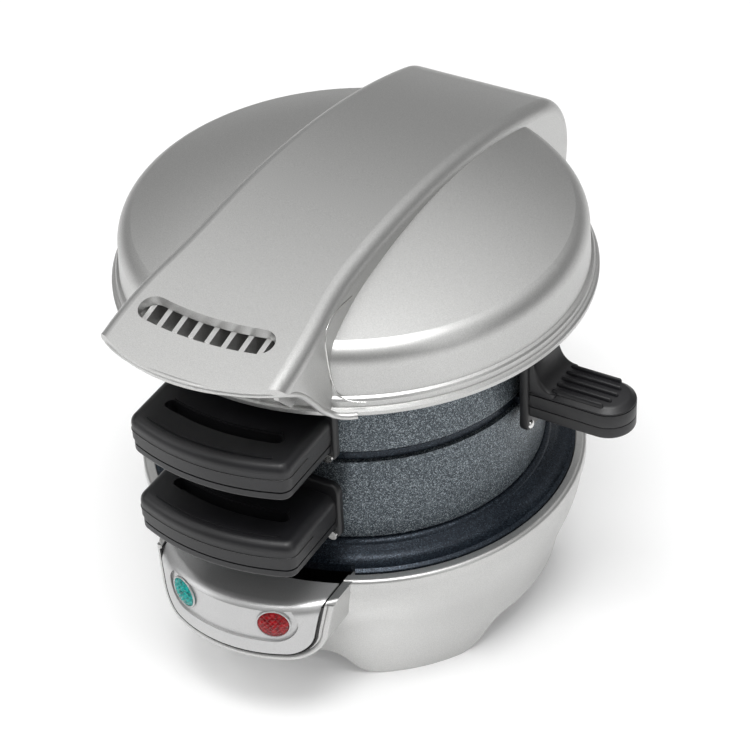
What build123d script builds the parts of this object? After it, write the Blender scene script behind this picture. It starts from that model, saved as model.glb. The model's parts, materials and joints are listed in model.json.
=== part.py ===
from build123d import *
from math import asin, atan, cos, degrees, radians, sin, sqrt
import os

os.makedirs("parts", exist_ok=True)

# Breakfast sandwich maker. Z = 0 is the table and the front with its handles faces -Y.
# The pieces are drawn round the axis of the bowl, the rings and the cover, and each one is
# saved with the middle of the appliance's whole footprint as its origin.

# Driving dimensions, in millimetres
ring_radius = 54.0            # outside of both muffin rings
ring_wall = 2.2
seat_height = 51.0            # top of the lower heating plate, where the lower ring rests
lower_ring_height = 28.0
plate_gap = 3.0               # room for the cooking plate between the rings
upper_ring_height = 24.0
cover_gap = 0.7               # from the upper ring to the lip of the cover
wall_offset = 12.2            # from the rings out to the cover's wall
flange_step = 2.8             # how far the cover's lip stands out from its wall
dome_height = 30.8            # from the lip of the cover to the top of the dome
dome_sphere = 186.0           # radius of the shallow dome
bridge_rise = 3.0             # how far the bridge stands above the dome
bridge_sphere = 275.0         # radius of the bridge's long arch
bridge_peak_y = -15.0
bridge_half_width = 24.5
grip_half_width = 27.8        # of the cover's front grip
grip_reach = 23.0             # from the lip of the cover to the front of the grip
ring_handle_half_width = 24.8
ring_handle_reach = 17.0      # from the lip of the cover to the front of the ring handles
ring_handle_height = 12.0
lower_handle_rise = 11.0      # underside of a ring handle above the foot of its ring
upper_handle_rise = 7.5
side_handle_half_width = 8.5
side_handle_reach = 18.5      # from the lip of the cover to the tip of the plate's handle
side_handle_height = 10.0
hinge_reach = 7.0             # from the lip of the cover back to the hinge pin
hinge_rise = 15.0             # hinge pin above the lower heating plate
pin_radius = 2.0
lug_radius = 6.5
lug_thickness = 4.0
lug_gap = 0.6
fit_gap = 0.3                 # between pieces that move past each other
turn_gap = 0.08               # between a pin and the hole that turns on it
seat_gap = 0.05               # between pieces that are fixed together
screw_gap = 0.1               # round the shank of a screw
pivot_angle = 50.0            # of the cooking plate's pivot, round from +X
pivot_offset = 12.0           # from the rings out to that pivot
foot_count = 4
foot_valley = 10.3            # height of the arches between the feet

# Levels and radii that follow from them
lower_ring_top = seat_height + lower_ring_height
upper_ring_low = lower_ring_top + plate_gap
upper_ring_top = upper_ring_low + upper_ring_height
cover_low = upper_ring_top + cover_gap
dome_top = cover_low + dome_height
bridge_top = dome_top + bridge_rise
ring_bore = ring_radius - ring_wall
dome_radius = ring_radius + wall_offset
flange_radius = dome_radius + flange_step
rim_radius = dome_radius - 0.1
rim_height = seat_height - 5.6
plate_low = lower_ring_top + fit_gap
plate_high = upper_ring_low - fit_gap
cover_front = -(flange_radius + grip_reach)
ring_handle_front = -(flange_radius + ring_handle_reach)
lower_handle_low = seat_height + lower_handle_rise
upper_handle_low = upper_ring_low + upper_handle_rise
side_handle_tip = flange_radius + side_handle_reach
side_handle_low = plate_low - 1.3
hinge_y = flange_radius + hinge_reach
hinge_z = seat_height + hinge_rise
hinge_plane = Plane(origin=(0, hinge_y, hinge_z), x_dir=(0, 1, 0), z_dir=(1, 0, 0))
pivot_x = (ring_radius + pivot_offset) * cos(radians(pivot_angle))
pivot_y = (ring_radius + pivot_offset) * sin(radians(pivot_angle))
housing_back = hinge_y + 11.5
saved_place = Location(((flange_radius - side_handle_tip) / 2, -(housing_back + cover_front) / 2, 0))


def arch_height(y, drop=0.0):
    """Height of the bridge's arched top at y, less a drop."""
    return bridge_top - drop - bridge_sphere + sqrt(bridge_sphere**2 - (y - bridge_peak_y) ** 2)


def dome_level(radius, inset=0.0):
    """Height of the dome's face at a radius, or of a face that lies inset below it."""
    return dome_top - dome_sphere + sqrt((dome_sphere - inset) ** 2 - radius**2)


def screw(head_radius, head_height, shank_radius, shank_length):
    """Screw along +Z with its head below the origin."""
    with BuildPart() as piece:
        Cylinder(head_radius, head_height, align=(Align.CENTER, Align.CENTER, Align.MAX))
        Cylinder(shank_radius, shank_length, align=(Align.CENTER, Align.CENTER, Align.MIN))
    return piece


# ---------------------------------------------------------------- base bowl

bowl_wall = 2.2
bowl_shape = [(0.8, 0.910), (1.6, 0.740), (4.6, 0.535), (6.9, 0.385), (8.3, 0.242), (10.3, 0.013)]
bowl_points = [(rim_radius - inset, rim_height * share) for inset, share in bowl_shape]
rim_band = 3.6                # height of the plain band round the rim
ledge_radius = rim_radius - 8.1
ledge_height = seat_height - 7.0
ledge_thickness = 1.8
nose_front = -(rim_radius + 14.5)
nose_plan_radius = 40.0
nose_low = rim_height - 19.9
nose_top = rim_height - 0.2
panel_half_width = 26.3
panel_low = rim_height - 17.4
panel_top = rim_height - 0.2
panel_taper = 0.165           # how much narrower each side gets per millimetre down
panel_gap = 0.6               # between the panel and its frame, filled by the gasket
frame_width = 2.3
foot_half_width = 30.5        # of an arch at the table
arch_flat = 16.0              # half width of the arch's level top
floor_low = 14.0              # underside of the bottom cover
floor_thickness = 2.0
boss_low = floor_low + floor_thickness
boss_height = 14.0
boss_distance = rim_radius - 15.1
boss_count = 3
boss_screw_radius = 1.45
inlet_angle = 144.0           # the cord's bushing, round from +X
inlet_height = rim_height - 18.4
inlet_radius = 5.0
saddle_back = hinge_y + 4.0
bracket_screw_x = 9.5
bracket_screw_height = rim_height - 7.4
bracket_screw_radius = 1.5


def wall_radius(height):
    """Outside radius of the bowl at a height between its rim and its foot."""
    pairs = zip(bowl_points, bowl_points[1:])
    upper, lower = next(pair for pair in pairs if pair[1][1] <= height)
    return lower[0] + (upper[0] - lower[0]) * (height - lower[1]) / (upper[1] - lower[1])


inlet_slope = (wall_radius(inlet_height + 2.0) - wall_radius(inlet_height - 2.0)) / 4.0
inlet_tilt = atan(inlet_slope)
inlet_out = Vector(cos(radians(inlet_angle)) * cos(inlet_tilt),
                   sin(radians(inlet_angle)) * cos(inlet_tilt), -sin(inlet_tilt))
inlet_place = Vector(wall_radius(inlet_height) * cos(radians(inlet_angle)),
                     wall_radius(inlet_height) * sin(radians(inlet_angle)), inlet_height)
inlet_plane = Plane(origin=inlet_place, z_dir=inlet_out)
inlet_axis = Axis(inlet_place, inlet_out)


def bowl_outline(inset):
    """Half outline of the bowl, moved inwards by inset, from the rim down to the foot."""
    return [(radius - inset, height) for radius, height in bowl_points]


def bowl_round(inset, top):
    """Solid of revolution inside the bowl's outline moved inwards, from the table up to top."""
    outline = bowl_outline(inset)
    with BuildPart() as solid:
        with BuildSketch(Plane.XZ):
            with BuildLine():
                Spline(*outline)
                Polyline(outline[-1], (outline[-1][0], 0), (0, 0), (0, top), (outline[0][0], top), outline[0])
            make_face()
        revolve(axis=Axis.Z)
    return solid


def panel_half(height, grow):
    """Half width of the panel's front outline at a height, grown outwards."""
    return panel_half_width - panel_taper * (panel_top - height) + grow


def front_block(front, grow, low, top, corner):
    """Block with an arched front in plan and a tapered front view with round lower corners."""
    wide = panel_half(top, grow)
    back = -0.75 * rim_radius
    side_y = front + nose_plan_radius - sqrt(nose_plan_radius**2 - wide**2)
    with BuildPart() as block:
        with BuildSketch(Plane.XY.offset(low)):
            with BuildLine():
                ThreePointArc((-wide, side_y), (0, front), (wide, side_y))
                Polyline((wide, side_y), (wide, back), (-wide, back), (-wide, side_y))
            make_face()
        extrude(amount=top - low)
        with BuildSketch(Plane.XZ):
            with BuildLine():
                Polyline((wide, top), (-wide, top), (-panel_half(low, grow), low), (panel_half(low, grow), low),
                         close=True)
            make_face()
            fillet(vertices().group_by(Axis.Y)[0], radius=corner)
        extrude(amount=2 * rim_radius, mode=Mode.INTERSECT)
    return block


frame_outside = front_block(nose_front, panel_gap + frame_width, nose_low, nose_top, 9.0)
with BuildPart() as nose_block:
    # the nose round the panel, with a rounded shoulder and a chamfered lower edge
    add(frame_outside.part)
    fillet(faces().sort_by(Axis.Z)[-1].edges().filter_by(GeomType.CIRCLE), radius=1.5)
    with BuildSketch(Plane.YZ):
        Polygon((nose_front - 1, nose_low - 1), (nose_front - 1, nose_low + 1.5), (nose_front + 3, nose_low),
                (nose_front + 3, nose_low - 1), align=None)
    extrude(amount=rim_radius, both=True, mode=Mode.SUBTRACT)

bowl_outside = bowl_round(0, rim_height - rim_band)
bowl_core = bowl_round(bowl_wall, rim_height + 20)
panel_opening = front_block(nose_front - 10, panel_gap, panel_low - panel_gap, rim_height + 20, 7.6)

with BuildPart() as arch:
    # the arch between two feet, cut outwards along +X
    with BuildSketch(Plane.YZ.offset(0.6 * rim_radius)):
        with BuildLine():
            for side in (-1, 1):
                Spline((side * foot_half_width, 0), (side * (foot_half_width + arch_flat) / 2, foot_valley / 2),
                       (side * arch_flat, foot_valley), tangents=((-side, 0.05), (-side, 0.0)))
            Line((-arch_flat, foot_valley), (arch_flat, foot_valley))
            Polyline((-foot_half_width, 0), (-foot_half_width, -1), (foot_half_width, -1), (foot_half_width, 0))
        make_face()
    extrude(amount=rim_radius)

with BuildPart() as boss_posts:
    # screw bosses for the bottom cover, over every arch but the front one
    with BuildSketch(Plane.XY.offset(boss_low)):
        with PolarLocations(boss_distance + 3, boss_count, angular_range=180, endpoint=True):
            SlotCenterToCenter(6, 7)
    extrude(amount=boss_height)
    add(bowl_outside.part, mode=Mode.INTERSECT)

with BuildPart() as bracket_holes:
    # two holes straight through the hinge bracket and the wall behind it
    with Locations((-bracket_screw_x, saddle_back, bracket_screw_height),
                   (bracket_screw_x, saddle_back, bracket_screw_height)):
        Cylinder(bracket_screw_radius + screw_gap, 60, rotation=(90, 0, 0))

with BuildPart() as base_bowl:
    add(bowl_outside.part)
    # the plain band of the rim stands out a little over the wall
    with BuildSketch(Plane.XZ):
        with BuildLine():
            band_low = rim_height - rim_band
            Polyline((0, band_low - 1), (bowl_points[0][0] - 1, band_low - 1), (rim_radius, band_low),
                     (rim_radius, rim_height - 1.2))
            ThreePointArc((rim_radius, rim_height - 1.2), (rim_radius - 0.4, rim_height - 0.35),
                          (rim_radius - 1.3, rim_height))
            Polyline((rim_radius - 1.3, rim_height), (0, rim_height), (0, band_low - 1))
        make_face()
    revolve(axis=Axis.Z)
    add(nose_block.part)
    add(bowl_core.part, mode=Mode.SUBTRACT)
    # the inner ledge that carries the heating plate
    with BuildSketch(Plane.XY.offset(ledge_height - ledge_thickness)):
        Circle(bowl_points[0][0] - bowl_wall / 2)
        Circle(ledge_radius, mode=Mode.SUBTRACT)
    extrude(amount=ledge_thickness)
    # four arches leave four feet round the lower edge
    with PolarLocations(0, foot_count):
        add(arch.part, mode=Mode.SUBTRACT)
    # the front is open for the panel
    add(panel_opening.part, mode=Mode.SUBTRACT)
    add(boss_posts.part)
    with Locations(Plane.XY.offset(boss_low)):
        with PolarLocations(boss_distance, boss_count, angular_range=180, endpoint=True):
            Cylinder(boss_screw_radius + seat_gap, 11, align=(Align.CENTER, Align.CENTER, Align.MIN),
                     mode=Mode.SUBTRACT)
    # hole for the cord's bushing, low at the rear left, and holes for the hinge bracket
    with Locations(inlet_plane):
        Cylinder(inlet_radius + seat_gap, 14, mode=Mode.SUBTRACT)
    add(bracket_holes.part, mode=Mode.SUBTRACT)
base_bowl.part.label = "base_bowl"
export_step(base_bowl.part.moved(saved_place), "parts/base_bowl.step")


# ---------------------------------------------------------------- control panel

panel_depth = 2.6
panel_front = nose_front - 0.7
panel_shoulder = 4.0
lens_x = 14.8
lens_height = rim_height - 6.4
lens_radius = 4.6
lens_proud = 1.5
lens_depth = 3.4
window_half_length = 21.0
window_half_height = 6.4
window_depth = 0.7


def lens_plane(side, depth):
    """Plane at one lens, facing outwards, a depth behind the panel's face."""
    turn = asin(lens_x / nose_plan_radius)
    outwards = (side * sin(turn), -cos(turn), 0)
    reach = nose_plan_radius - depth
    centre = panel_front + nose_plan_radius
    return Plane(origin=(outwards[0] * reach, centre + outwards[1] * reach, lens_height),
                 x_dir=(-outwards[1], outwards[0], 0), z_dir=outwards)


panel_outside = front_block(panel_front, 0, panel_low, panel_top, 7.0)
panel_inside = front_block(panel_front + panel_depth, -panel_depth, panel_low + panel_depth,
                           panel_top - panel_depth, 4.5)
with BuildPart() as window_cut:
    # the shallow window with round ends that holds the two lenses
    with BuildSketch(Plane.XZ):
        with Locations((0, lens_height)):
            SlotOverall(2 * window_half_length, 2 * window_half_height)
    extrude(amount=2 * rim_radius)
    with Locations((0, panel_front + nose_plan_radius, lens_height)):
        Cylinder(nose_plan_radius - window_depth, 8 * window_half_height, mode=Mode.SUBTRACT)

with BuildPart() as control_panel:
    add(panel_outside.part)
    fillet(faces().sort_by(Axis.Z)[-1].edges().filter_by(GeomType.CIRCLE), radius=panel_shoulder)
    add(panel_inside.part, mode=Mode.SUBTRACT)
    Cylinder(rim_radius + 0.4, 4 * rim_height, mode=Mode.SUBTRACT)
    add(window_cut.part, mode=Mode.SUBTRACT)
    with Locations(lens_plane(-1, 0), lens_plane(1, 0)):
        Cylinder(lens_radius + seat_gap, 12, mode=Mode.SUBTRACT)
control_panel.part.label = "control_panel"
export_step(control_panel.part.moved(saved_place), "parts/control_panel.step")

gasket_outside = front_block(nose_front + 0.5, panel_gap - seat_gap, panel_low - panel_gap + seat_gap,
                             nose_top - 0.5, 7.5)
gasket_inside = front_block(panel_front - 5, seat_gap, panel_low - seat_gap, rim_height + 20, 7.05)
with BuildPart() as panel_gasket:
    # the dark line round the panel
    add(gasket_outside.part)
    add(gasket_inside.part, mode=Mode.SUBTRACT)
    Cylinder(rim_radius + 0.2, 4 * rim_height, mode=Mode.SUBTRACT)
panel_gasket.part.label = "panel_gasket"
export_step(panel_gasket.part.moved(saved_place), "parts/panel_gasket.step")


def jewel(side):
    """A lens: a collar in the panel with a low domed front."""
    dome = (lens_radius**2 + lens_proud**2) / (2 * lens_proud)
    with BuildPart() as lens:
        with Locations(lens_plane(side, window_depth)):
            Cylinder(lens_radius, lens_depth, align=(Align.CENTER, Align.CENTER, Align.MAX))
        with Locations(lens_plane(side, window_depth + dome - lens_proud)):
            Sphere(dome)
        with Locations(lens_plane(side, 0)):
            Cylinder(lens_radius, 4 * lens_radius, mode=Mode.INTERSECT)
        with Locations(lens_plane(side, window_depth + lens_depth)):
            Cylinder(3 * lens_radius, 40, align=(Align.CENTER, Align.CENTER, Align.MAX), mode=Mode.SUBTRACT)
    return lens


preheat_lens = jewel(-1)
preheat_lens.part.label = "preheat_lens"
export_step(preheat_lens.part.moved(saved_place), "parts/preheat_lens.step")

power_lens = jewel(1)
power_lens.part.label = "power_lens"
export_step(power_lens.part.moved(saved_place), "parts/power_lens.step")

lamp_radius = 2.6
lamp_depth = window_depth + lens_depth + 0.2
lamp_length = 7.0
with BuildPart() as indicator_lamps:
    # two small neon lamps, one close behind each lens
    with Locations(lens_plane(-1, lamp_depth), lens_plane(1, lamp_depth)):
        Cylinder(lamp_radius, lamp_length, align=(Align.CENTER, Align.CENTER, Align.MAX))
indicator_lamps.part.label = "indicator_lamps"
export_step(indicator_lamps.part.moved(saved_place), "parts/indicator_lamps.step")

holder_floor = panel_low + panel_depth
holder_bar_low = lens_height - 4.0
with BuildPart() as lamp_holder:
    # bracket that stands on the panel's floor, with a sleeve for each lamp
    with BuildSketch(Plane.XY.offset(holder_floor)):
        with Locations((0, panel_front + 12.3)):
            RectangleRounded(24, 5, 1)
    extrude(amount=5)
    with Locations(lens_plane(-1, lamp_depth + 1.0), lens_plane(1, lamp_depth + 1.0)):
        Cylinder(lamp_radius + 0.8, 4.6, align=(Align.CENTER, Align.CENTER, Align.MAX))
    with BuildSketch(Plane.XY.offset(holder_bar_low)):
        with Locations((0, panel_front + 11.1)):
            Rectangle(24, 2.4)
    extrude(amount=5)
    with BuildSketch(Plane.XY.offset(holder_floor + 4)):
        with Locations((0, panel_front + 11.1)):
            Rectangle(20, 2.4)
    extrude(amount=holder_bar_low - holder_floor - 4)
    with Locations(lens_plane(-1, lamp_depth), lens_plane(1, lamp_depth)):
        Cylinder(lamp_radius + seat_gap, 20, mode=Mode.SUBTRACT)
lamp_holder.part.label = "lamp_holder"
export_step(lamp_holder.part.moved(saved_place), "parts/lamp_holder.step")


# ---------------------------------------------------------------- lower heating plate and its works

plate_edge = bowl_points[0][0] - bowl_wall - 0.3
plate_disc = ring_radius + 1.4
plate_under = seat_height - 3.5
dish_radius = ring_radius - 6.0
dish_depth = 0.6
notch_radius = rim_radius - 5.9
notch_half_angle = 27.0
heater_radius = ring_radius - 18.0
heater_tube = 3.2
heater_gap = 18.0             # half angle between the element's two ends

with BuildPart() as lower_heating_plate:
    # raised disc for the ring, a sloping trough round it and a rim that rests on the ledge
    with BuildSketch(Plane.XZ):
        with BuildLine():
            Polyline((0, seat_height - dish_depth), (dish_radius, seat_height - dish_depth),
                     (dish_radius + 1.4, seat_height), (plate_disc - 1, seat_height))
            ThreePointArc((plate_disc - 1, seat_height), (plate_disc - 0.2, seat_height - 0.4),
                          (plate_disc + 0.3, seat_height - 1.2))
            Line((plate_disc + 0.3, seat_height - 1.2), (plate_disc + 1.6, seat_height - 2.4))
            ThreePointArc((plate_disc + 1.6, seat_height - 2.4), (plate_disc + 4.0, seat_height - 4.1),
                          (plate_edge - 0.9, seat_height - 4.4))
            Polyline((plate_edge - 0.9, seat_height - 4.4), (plate_edge, seat_height - 5.0),
                     (plate_edge, ledge_height), (plate_edge - 4.2, ledge_height),
                     (plate_disc + 0.6, plate_under - 1.4), (plate_disc - 1.4, plate_under),
                     (0, plate_under), (0, seat_height - dish_depth))
        make_face()
    revolve(axis=Axis.Z)
    # the rim is cut short over the panel
    with BuildSketch(Plane.XY.offset(ledge_height - 1)):
        with BuildLine():
            notch_start = 270 - notch_half_angle
            notch_end = 270 + notch_half_angle
            CenterArc((0, 0), notch_radius, notch_start, 2 * notch_half_angle)
            CenterArc((0, 0), rim_radius + 4, notch_start, 2 * notch_half_angle)
            for angle in (notch_start, notch_end):
                direction = Vector(cos(radians(angle)), sin(radians(angle)))
                Line(direction * notch_radius, direction * (rim_radius + 4))
        make_face()
    extrude(amount=6, mode=Mode.SUBTRACT)
lower_heating_plate.part.label = "lower_heating_plate"
export_step(lower_heating_plate.part.moved(saved_place), "parts/lower_heating_plate.step")


def heater(height, leg):
    """Tubular element: an open ring with its two ends bent straight down or up."""
    reach = 2 * heater_radius
    with BuildPart() as element:
        with Locations((0, 0, height)):
            Torus(heater_radius, heater_tube)
        with BuildSketch(Plane.XY.offset(height - 2 * heater_tube)):
            Polygon((0, 0), (reach * cos(radians(heater_gap)), -reach * sin(radians(heater_gap))),
                    (reach * cos(radians(heater_gap)), reach * sin(radians(heater_gap))), align=None)
        extrude(amount=4 * heater_tube, mode=Mode.SUBTRACT)
        for angle in (heater_gap, -heater_gap):
            place = (heater_radius * cos(radians(angle)), heater_radius * sin(radians(angle)), height)
            with Locations(place):
                Sphere(heater_tube)
                Cylinder(heater_tube, abs(leg), align=(Align.CENTER, Align.CENTER, Align.MIN),
                         rotation=(0 if leg > 0 else 180, 0, 0))
    return element


lower_heater = heater(plate_under - heater_tube, -8.0)
lower_heater.part.label = "lower_heater"
export_step(lower_heater.part.moved(saved_place), "parts/lower_heater.step")

shield_height = plate_under - 16.5
shield_radius = ring_radius - 10.0
shield_rim = 7.0
shield_wall = 0.8
with BuildPart() as heat_shield:
    # shallow steel pan that keeps the heat off the bottom cover
    with BuildSketch(Plane.XZ):
        with BuildLine():
            Polyline((0, shield_height), (shield_radius, shield_height),
                     (shield_radius + 5, shield_height + shield_rim),
                     (shield_radius + 9, shield_height + shield_rim),
                     (shield_radius + 9, shield_height + shield_rim + shield_wall),
                     (shield_radius + 4.5, shield_height + shield_rim + shield_wall),
                     (shield_radius - 0.5, shield_height + shield_wall), (0, shield_height + shield_wall),
                     close=True)
        make_face()
    revolve(axis=Axis.Z)
heat_shield.part.label = "heat_shield"
export_step(heat_shield.part.moved(saved_place), "parts/heat_shield.step")

thermostat_radius = 7.6
thermostat_height = 9.0
with BuildPart() as thermostat:
    # round ceramic thermostat held against the middle of the plate, with two tabs
    with Locations((0, 0, plate_under)):
        Cylinder(thermostat_radius + 1.4, 1.2, align=(Align.CENTER, Align.CENTER, Align.MAX))
        Cylinder(thermostat_radius, thermostat_height, align=(Align.CENTER, Align.CENTER, Align.MAX))
    with Locations((-4.0, 0, plate_under - thermostat_height), (4.0, 0, plate_under - thermostat_height)):
        Box(0.8, 4.0, 5.0, align=(Align.CENTER, Align.CENTER, Align.MAX))
thermostat.part.label = "thermostat"
export_step(thermostat.part.moved(saved_place), "parts/thermostat.step")

fuse_y = 20.0
fuse_radius = 2.0
with BuildPart() as thermal_fuse:
    # small tube with its two leads, clamped under the plate beside the thermostat
    with Locations((0, fuse_y, plate_under - fuse_radius)):
        Cylinder(fuse_radius, 11, rotation=(0, 90, 0))
        Cylinder(0.5, 26, rotation=(0, 90, 0))
        Box(4, 7, fuse_radius, align=(Align.CENTER, Align.CENTER, Align.MIN))
thermal_fuse.part.label = "thermal_fuse"
export_step(thermal_fuse.part.moved(saved_place), "parts/thermal_fuse.step")

floor_radius = rim_radius - 11.1
foot_distance = rim_radius - 19.6
foot_pad_radius = 5.0
foot_pad_height = 3.0
foot_pad_seat = 1.5           # how deep a pad sits in its post
shield_post_distance = shield_radius - 4.0
with BuildPart() as bottom_cover:
    # round cover inside the feet, with a post over each foot pad and slots for air
    with BuildSketch(Plane.XY.offset(floor_low)):
        Circle(floor_radius)
    extrude(amount=floor_thickness)
    with BuildSketch(Plane.XY.offset(foot_pad_height - foot_pad_seat)):
        with PolarLocations(foot_distance, foot_count, start_angle=45):
            Circle(foot_pad_radius + 1.5)
    extrude(amount=floor_low - foot_pad_height + foot_pad_seat)
    with BuildSketch(Plane.XY.offset(foot_pad_height - foot_pad_seat)):
        with PolarLocations(foot_distance, foot_count, start_angle=45):
            Circle(foot_pad_radius)
    extrude(amount=foot_pad_seat, mode=Mode.SUBTRACT)
    with BuildSketch(Plane.XY.offset(boss_low)):
        with PolarLocations(shield_post_distance, 3, start_angle=30):
            Circle(3.0)
    extrude(amount=shield_height - boss_low)
    with BuildSketch(Plane.XY.offset(floor_low)):
        for row in range(-3, 4):
            with Locations((0, 6.0 * row)):
                SlotOverall(34 - 3.0 * abs(row), 2.6)
    extrude(amount=floor_thickness, mode=Mode.SUBTRACT)
    with Locations(Plane.XY.offset(floor_low)):
        with PolarLocations(boss_distance, boss_count, angular_range=180, endpoint=True):
            Cylinder(boss_screw_radius + screw_gap, 3 * floor_thickness, mode=Mode.SUBTRACT)
bottom_cover.part.label = "bottom_cover"
export_step(bottom_cover.part.moved(saved_place), "parts/bottom_cover.step")

with BuildPart() as foot_pads:
    with BuildSketch(Plane.XY):
        with PolarLocations(foot_distance, foot_count, start_angle=45):
            Circle(foot_pad_radius - seat_gap)
    extrude(amount=foot_pad_height)
    chamfer(edges().group_by(Axis.Z)[0], length=0.5)
foot_pads.part.label = "foot_pads"
export_step(foot_pads.part.moved(saved_place), "parts/foot_pads.step")

boss_screw = screw(3.0, 1.8, boss_screw_radius, 11.0)
with BuildPart() as bottom_screws:
    with Locations(Plane.XY.offset(floor_low)):
        with PolarLocations(boss_distance, boss_count, angular_range=180, endpoint=True):
            add(boss_screw.part)
bottom_screws.part.label = "bottom_screws"
export_step(bottom_screws.part.moved(saved_place), "parts/bottom_screws.step")

with BuildPart() as terminal_block:
    # block on the bottom cover where the supply joins the element's wires
    with BuildSketch(Plane.XY.offset(boss_low)):
        with Locations((-22, 30)):
            RectangleRounded(22, 9, 1)
    extrude(amount=8)
    with BuildSketch(faces().sort_by(Axis.Z)[-1]):
        with GridLocations(6.4, 0, 3, 1):
            Circle(2.0)
    extrude(amount=-5, mode=Mode.SUBTRACT)
terminal_block.part.label = "terminal_block"
export_step(terminal_block.part.moved(saved_place), "parts/terminal_block.step")

with BuildPart() as cord_inlet:
    # rubber bushing in the wall, with a flange outside and a plain bore
    with Locations(inlet_plane.offset(0.4)):
        Cylinder(inlet_radius, 5.0, align=(Align.CENTER, Align.CENTER, Align.MAX))
        Cylinder(inlet_radius + 1.8, 2.2, align=(Align.CENTER, Align.CENTER, Align.MIN))
    fillet(faces().sort_by(inlet_axis)[-1].edges(), radius=1.0)
    with Locations(inlet_plane):
        Cylinder(2.6, 20, mode=Mode.SUBTRACT)
cord_inlet.part.label = "cord_inlet"
export_step(cord_inlet.part.moved(saved_place), "parts/cord_inlet.step")


# ---------------------------------------------------------------- hinge

base_lug_half = 6.0
lower_arm_x = base_lug_half + lug_gap + lug_thickness / 2
upper_arm_x = lower_arm_x + lug_thickness + lug_gap
cover_lug_start = upper_arm_x + lug_thickness / 2 + lug_gap
pin_half_length = bridge_half_width + 1.0
clip_radius = 3.6
clip_thickness = 1.0
clip_seat = pin_half_length - clip_thickness - 0.4
saddle_half_width = 14.0
saddle_low = rim_height - 16.4
saddle_top = rim_height + 1.6

with BuildPart() as hinge_bracket:
    # saddle that hugs the back of the bowl, with a tongue up to the pin
    saddle_depth = 24.0
    with BuildSketch(Plane.XY.offset(saddle_low)):
        with Locations((0, saddle_back - saddle_depth / 2)):
            RectangleRounded(2 * saddle_half_width, saddle_depth, 4)
    extrude(amount=saddle_top - saddle_low)
    with BuildSketch(Plane.YZ):
        Polygon((saddle_back + 1, saddle_low + 9), (saddle_back + 1, saddle_low - 1),
                (saddle_back - 12, saddle_low - 1), align=None)
    extrude(amount=saddle_half_width + 1, both=True, mode=Mode.SUBTRACT)
    with BuildSketch(Plane.YZ):
        with Locations((hinge_y, hinge_z)):
            Circle(lug_radius)
        with Locations((hinge_y - 4, saddle_top)):
            Rectangle(13, 4)
        make_hull()
    extrude(amount=base_lug_half, both=True)
    # the hollow that fits the wall and the band round the rim
    with BuildSketch(Plane.XZ):
        with BuildLine():
            hug = bowl_outline(-seat_gap)
            band_reach = rim_radius + seat_gap
            Spline(*hug)
            Polyline(hug[0], (band_reach, hug[0][1]), (band_reach, rim_height + 5), (0, rim_height + 5),
                     (0, 0), (hug[-1][0], 0), hug[-1])
        make_face()
    revolve(axis=Axis.Z, mode=Mode.SUBTRACT)
    with BuildSketch(hinge_plane):
        Circle(pin_radius)
    extrude(amount=2 * base_lug_half, both=True, mode=Mode.SUBTRACT)
    add(bracket_holes.part, mode=Mode.SUBTRACT)
    with Locations((-bracket_screw_x, saddle_back, bracket_screw_height),
                   (bracket_screw_x, saddle_back, bracket_screw_height)):
        Cylinder(3.4, 8, rotation=(90, 0, 0), mode=Mode.SUBTRACT)
hinge_bracket.part.label = "hinge_bracket"
export_step(hinge_bracket.part.moved(saved_place), "parts/hinge_bracket.step")

bracket_screw = screw(3.1, 2.0, bracket_screw_radius, saddle_back - 4 - rim_radius + 5)
with BuildPart() as bracket_screws:
    for side in (-1, 1):
        with Locations(Plane(origin=(side * bracket_screw_x, saddle_back - 4, bracket_screw_height),
                             z_dir=(0, -1, 0))):
            add(bracket_screw.part)
bracket_screws.part.label = "bracket_screws"
export_step(bracket_screws.part.moved(saved_place), "parts/bracket_screws.step")

with BuildPart() as hinge_pin:
    with BuildSketch(hinge_plane):
        Circle(pin_radius)
    extrude(amount=pin_half_length, both=True)
    chamfer(edges().filter_by(GeomType.CIRCLE), length=0.3)
hinge_pin.part.label = "hinge_pin"
export_step(hinge_pin.part.moved(saved_place), "parts/hinge_pin.step")

with BuildPart() as hinge_pin_clips:
    # a spring washer pushed on each end of the pin
    for side in (-1, 1):
        with BuildSketch(hinge_plane.offset(side * clip_seat)):
            Circle(clip_radius)
            Circle(pin_radius, mode=Mode.SUBTRACT)
        extrude(amount=side * clip_thickness)
hinge_pin_clips.part.label = "hinge_pin_clips"
export_step(hinge_pin_clips.part.moved(saved_place), "parts/hinge_pin_clips.step")


# ---------------------------------------------------------------- muffin rings

edge_round = 0.7
bead_width = 0.5
arm_root = ring_radius - 3.2


def ring_body(low, height, arm_x, root_low, root_high):
    """A ring with a beaded lip and two arms that reach back to the hinge pin."""
    bead = ring_radius + bead_width
    with BuildPart() as ring:
        with BuildSketch(Plane.XZ):
            with BuildLine():
                Polyline((ring_bore, low), (ring_radius, low), (ring_radius, low + height - 1.6),
                         (bead, low + height - 1.2), (bead, low + height), (ring_bore, low + height), close=True)
            make_face()
            fillet(vertices().group_by(Axis.Y)[0], radius=edge_round)
        revolve(axis=Axis.Z)
        for side in (-1, 1):
            with BuildSketch(Plane.YZ.offset(side * arm_x)):
                with Locations((hinge_y, hinge_z)):
                    Circle(lug_radius - 0.5)
                with Locations((arm_root + ring_wall / 2, (root_low + root_high) / 2)):
                    Rectangle(ring_wall, root_high - root_low)
                make_hull()
            extrude(amount=lug_thickness / 2, both=True)
        with Locations(Plane.XY.offset(low)):
            Cylinder(ring_bore, height, align=(Align.CENTER, Align.CENTER, Align.MIN), mode=Mode.SUBTRACT)
        with BuildSketch(hinge_plane):
            Circle(pin_radius + turn_gap)
        extrude(amount=2 * arm_x, both=True, mode=Mode.SUBTRACT)
    return ring


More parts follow.
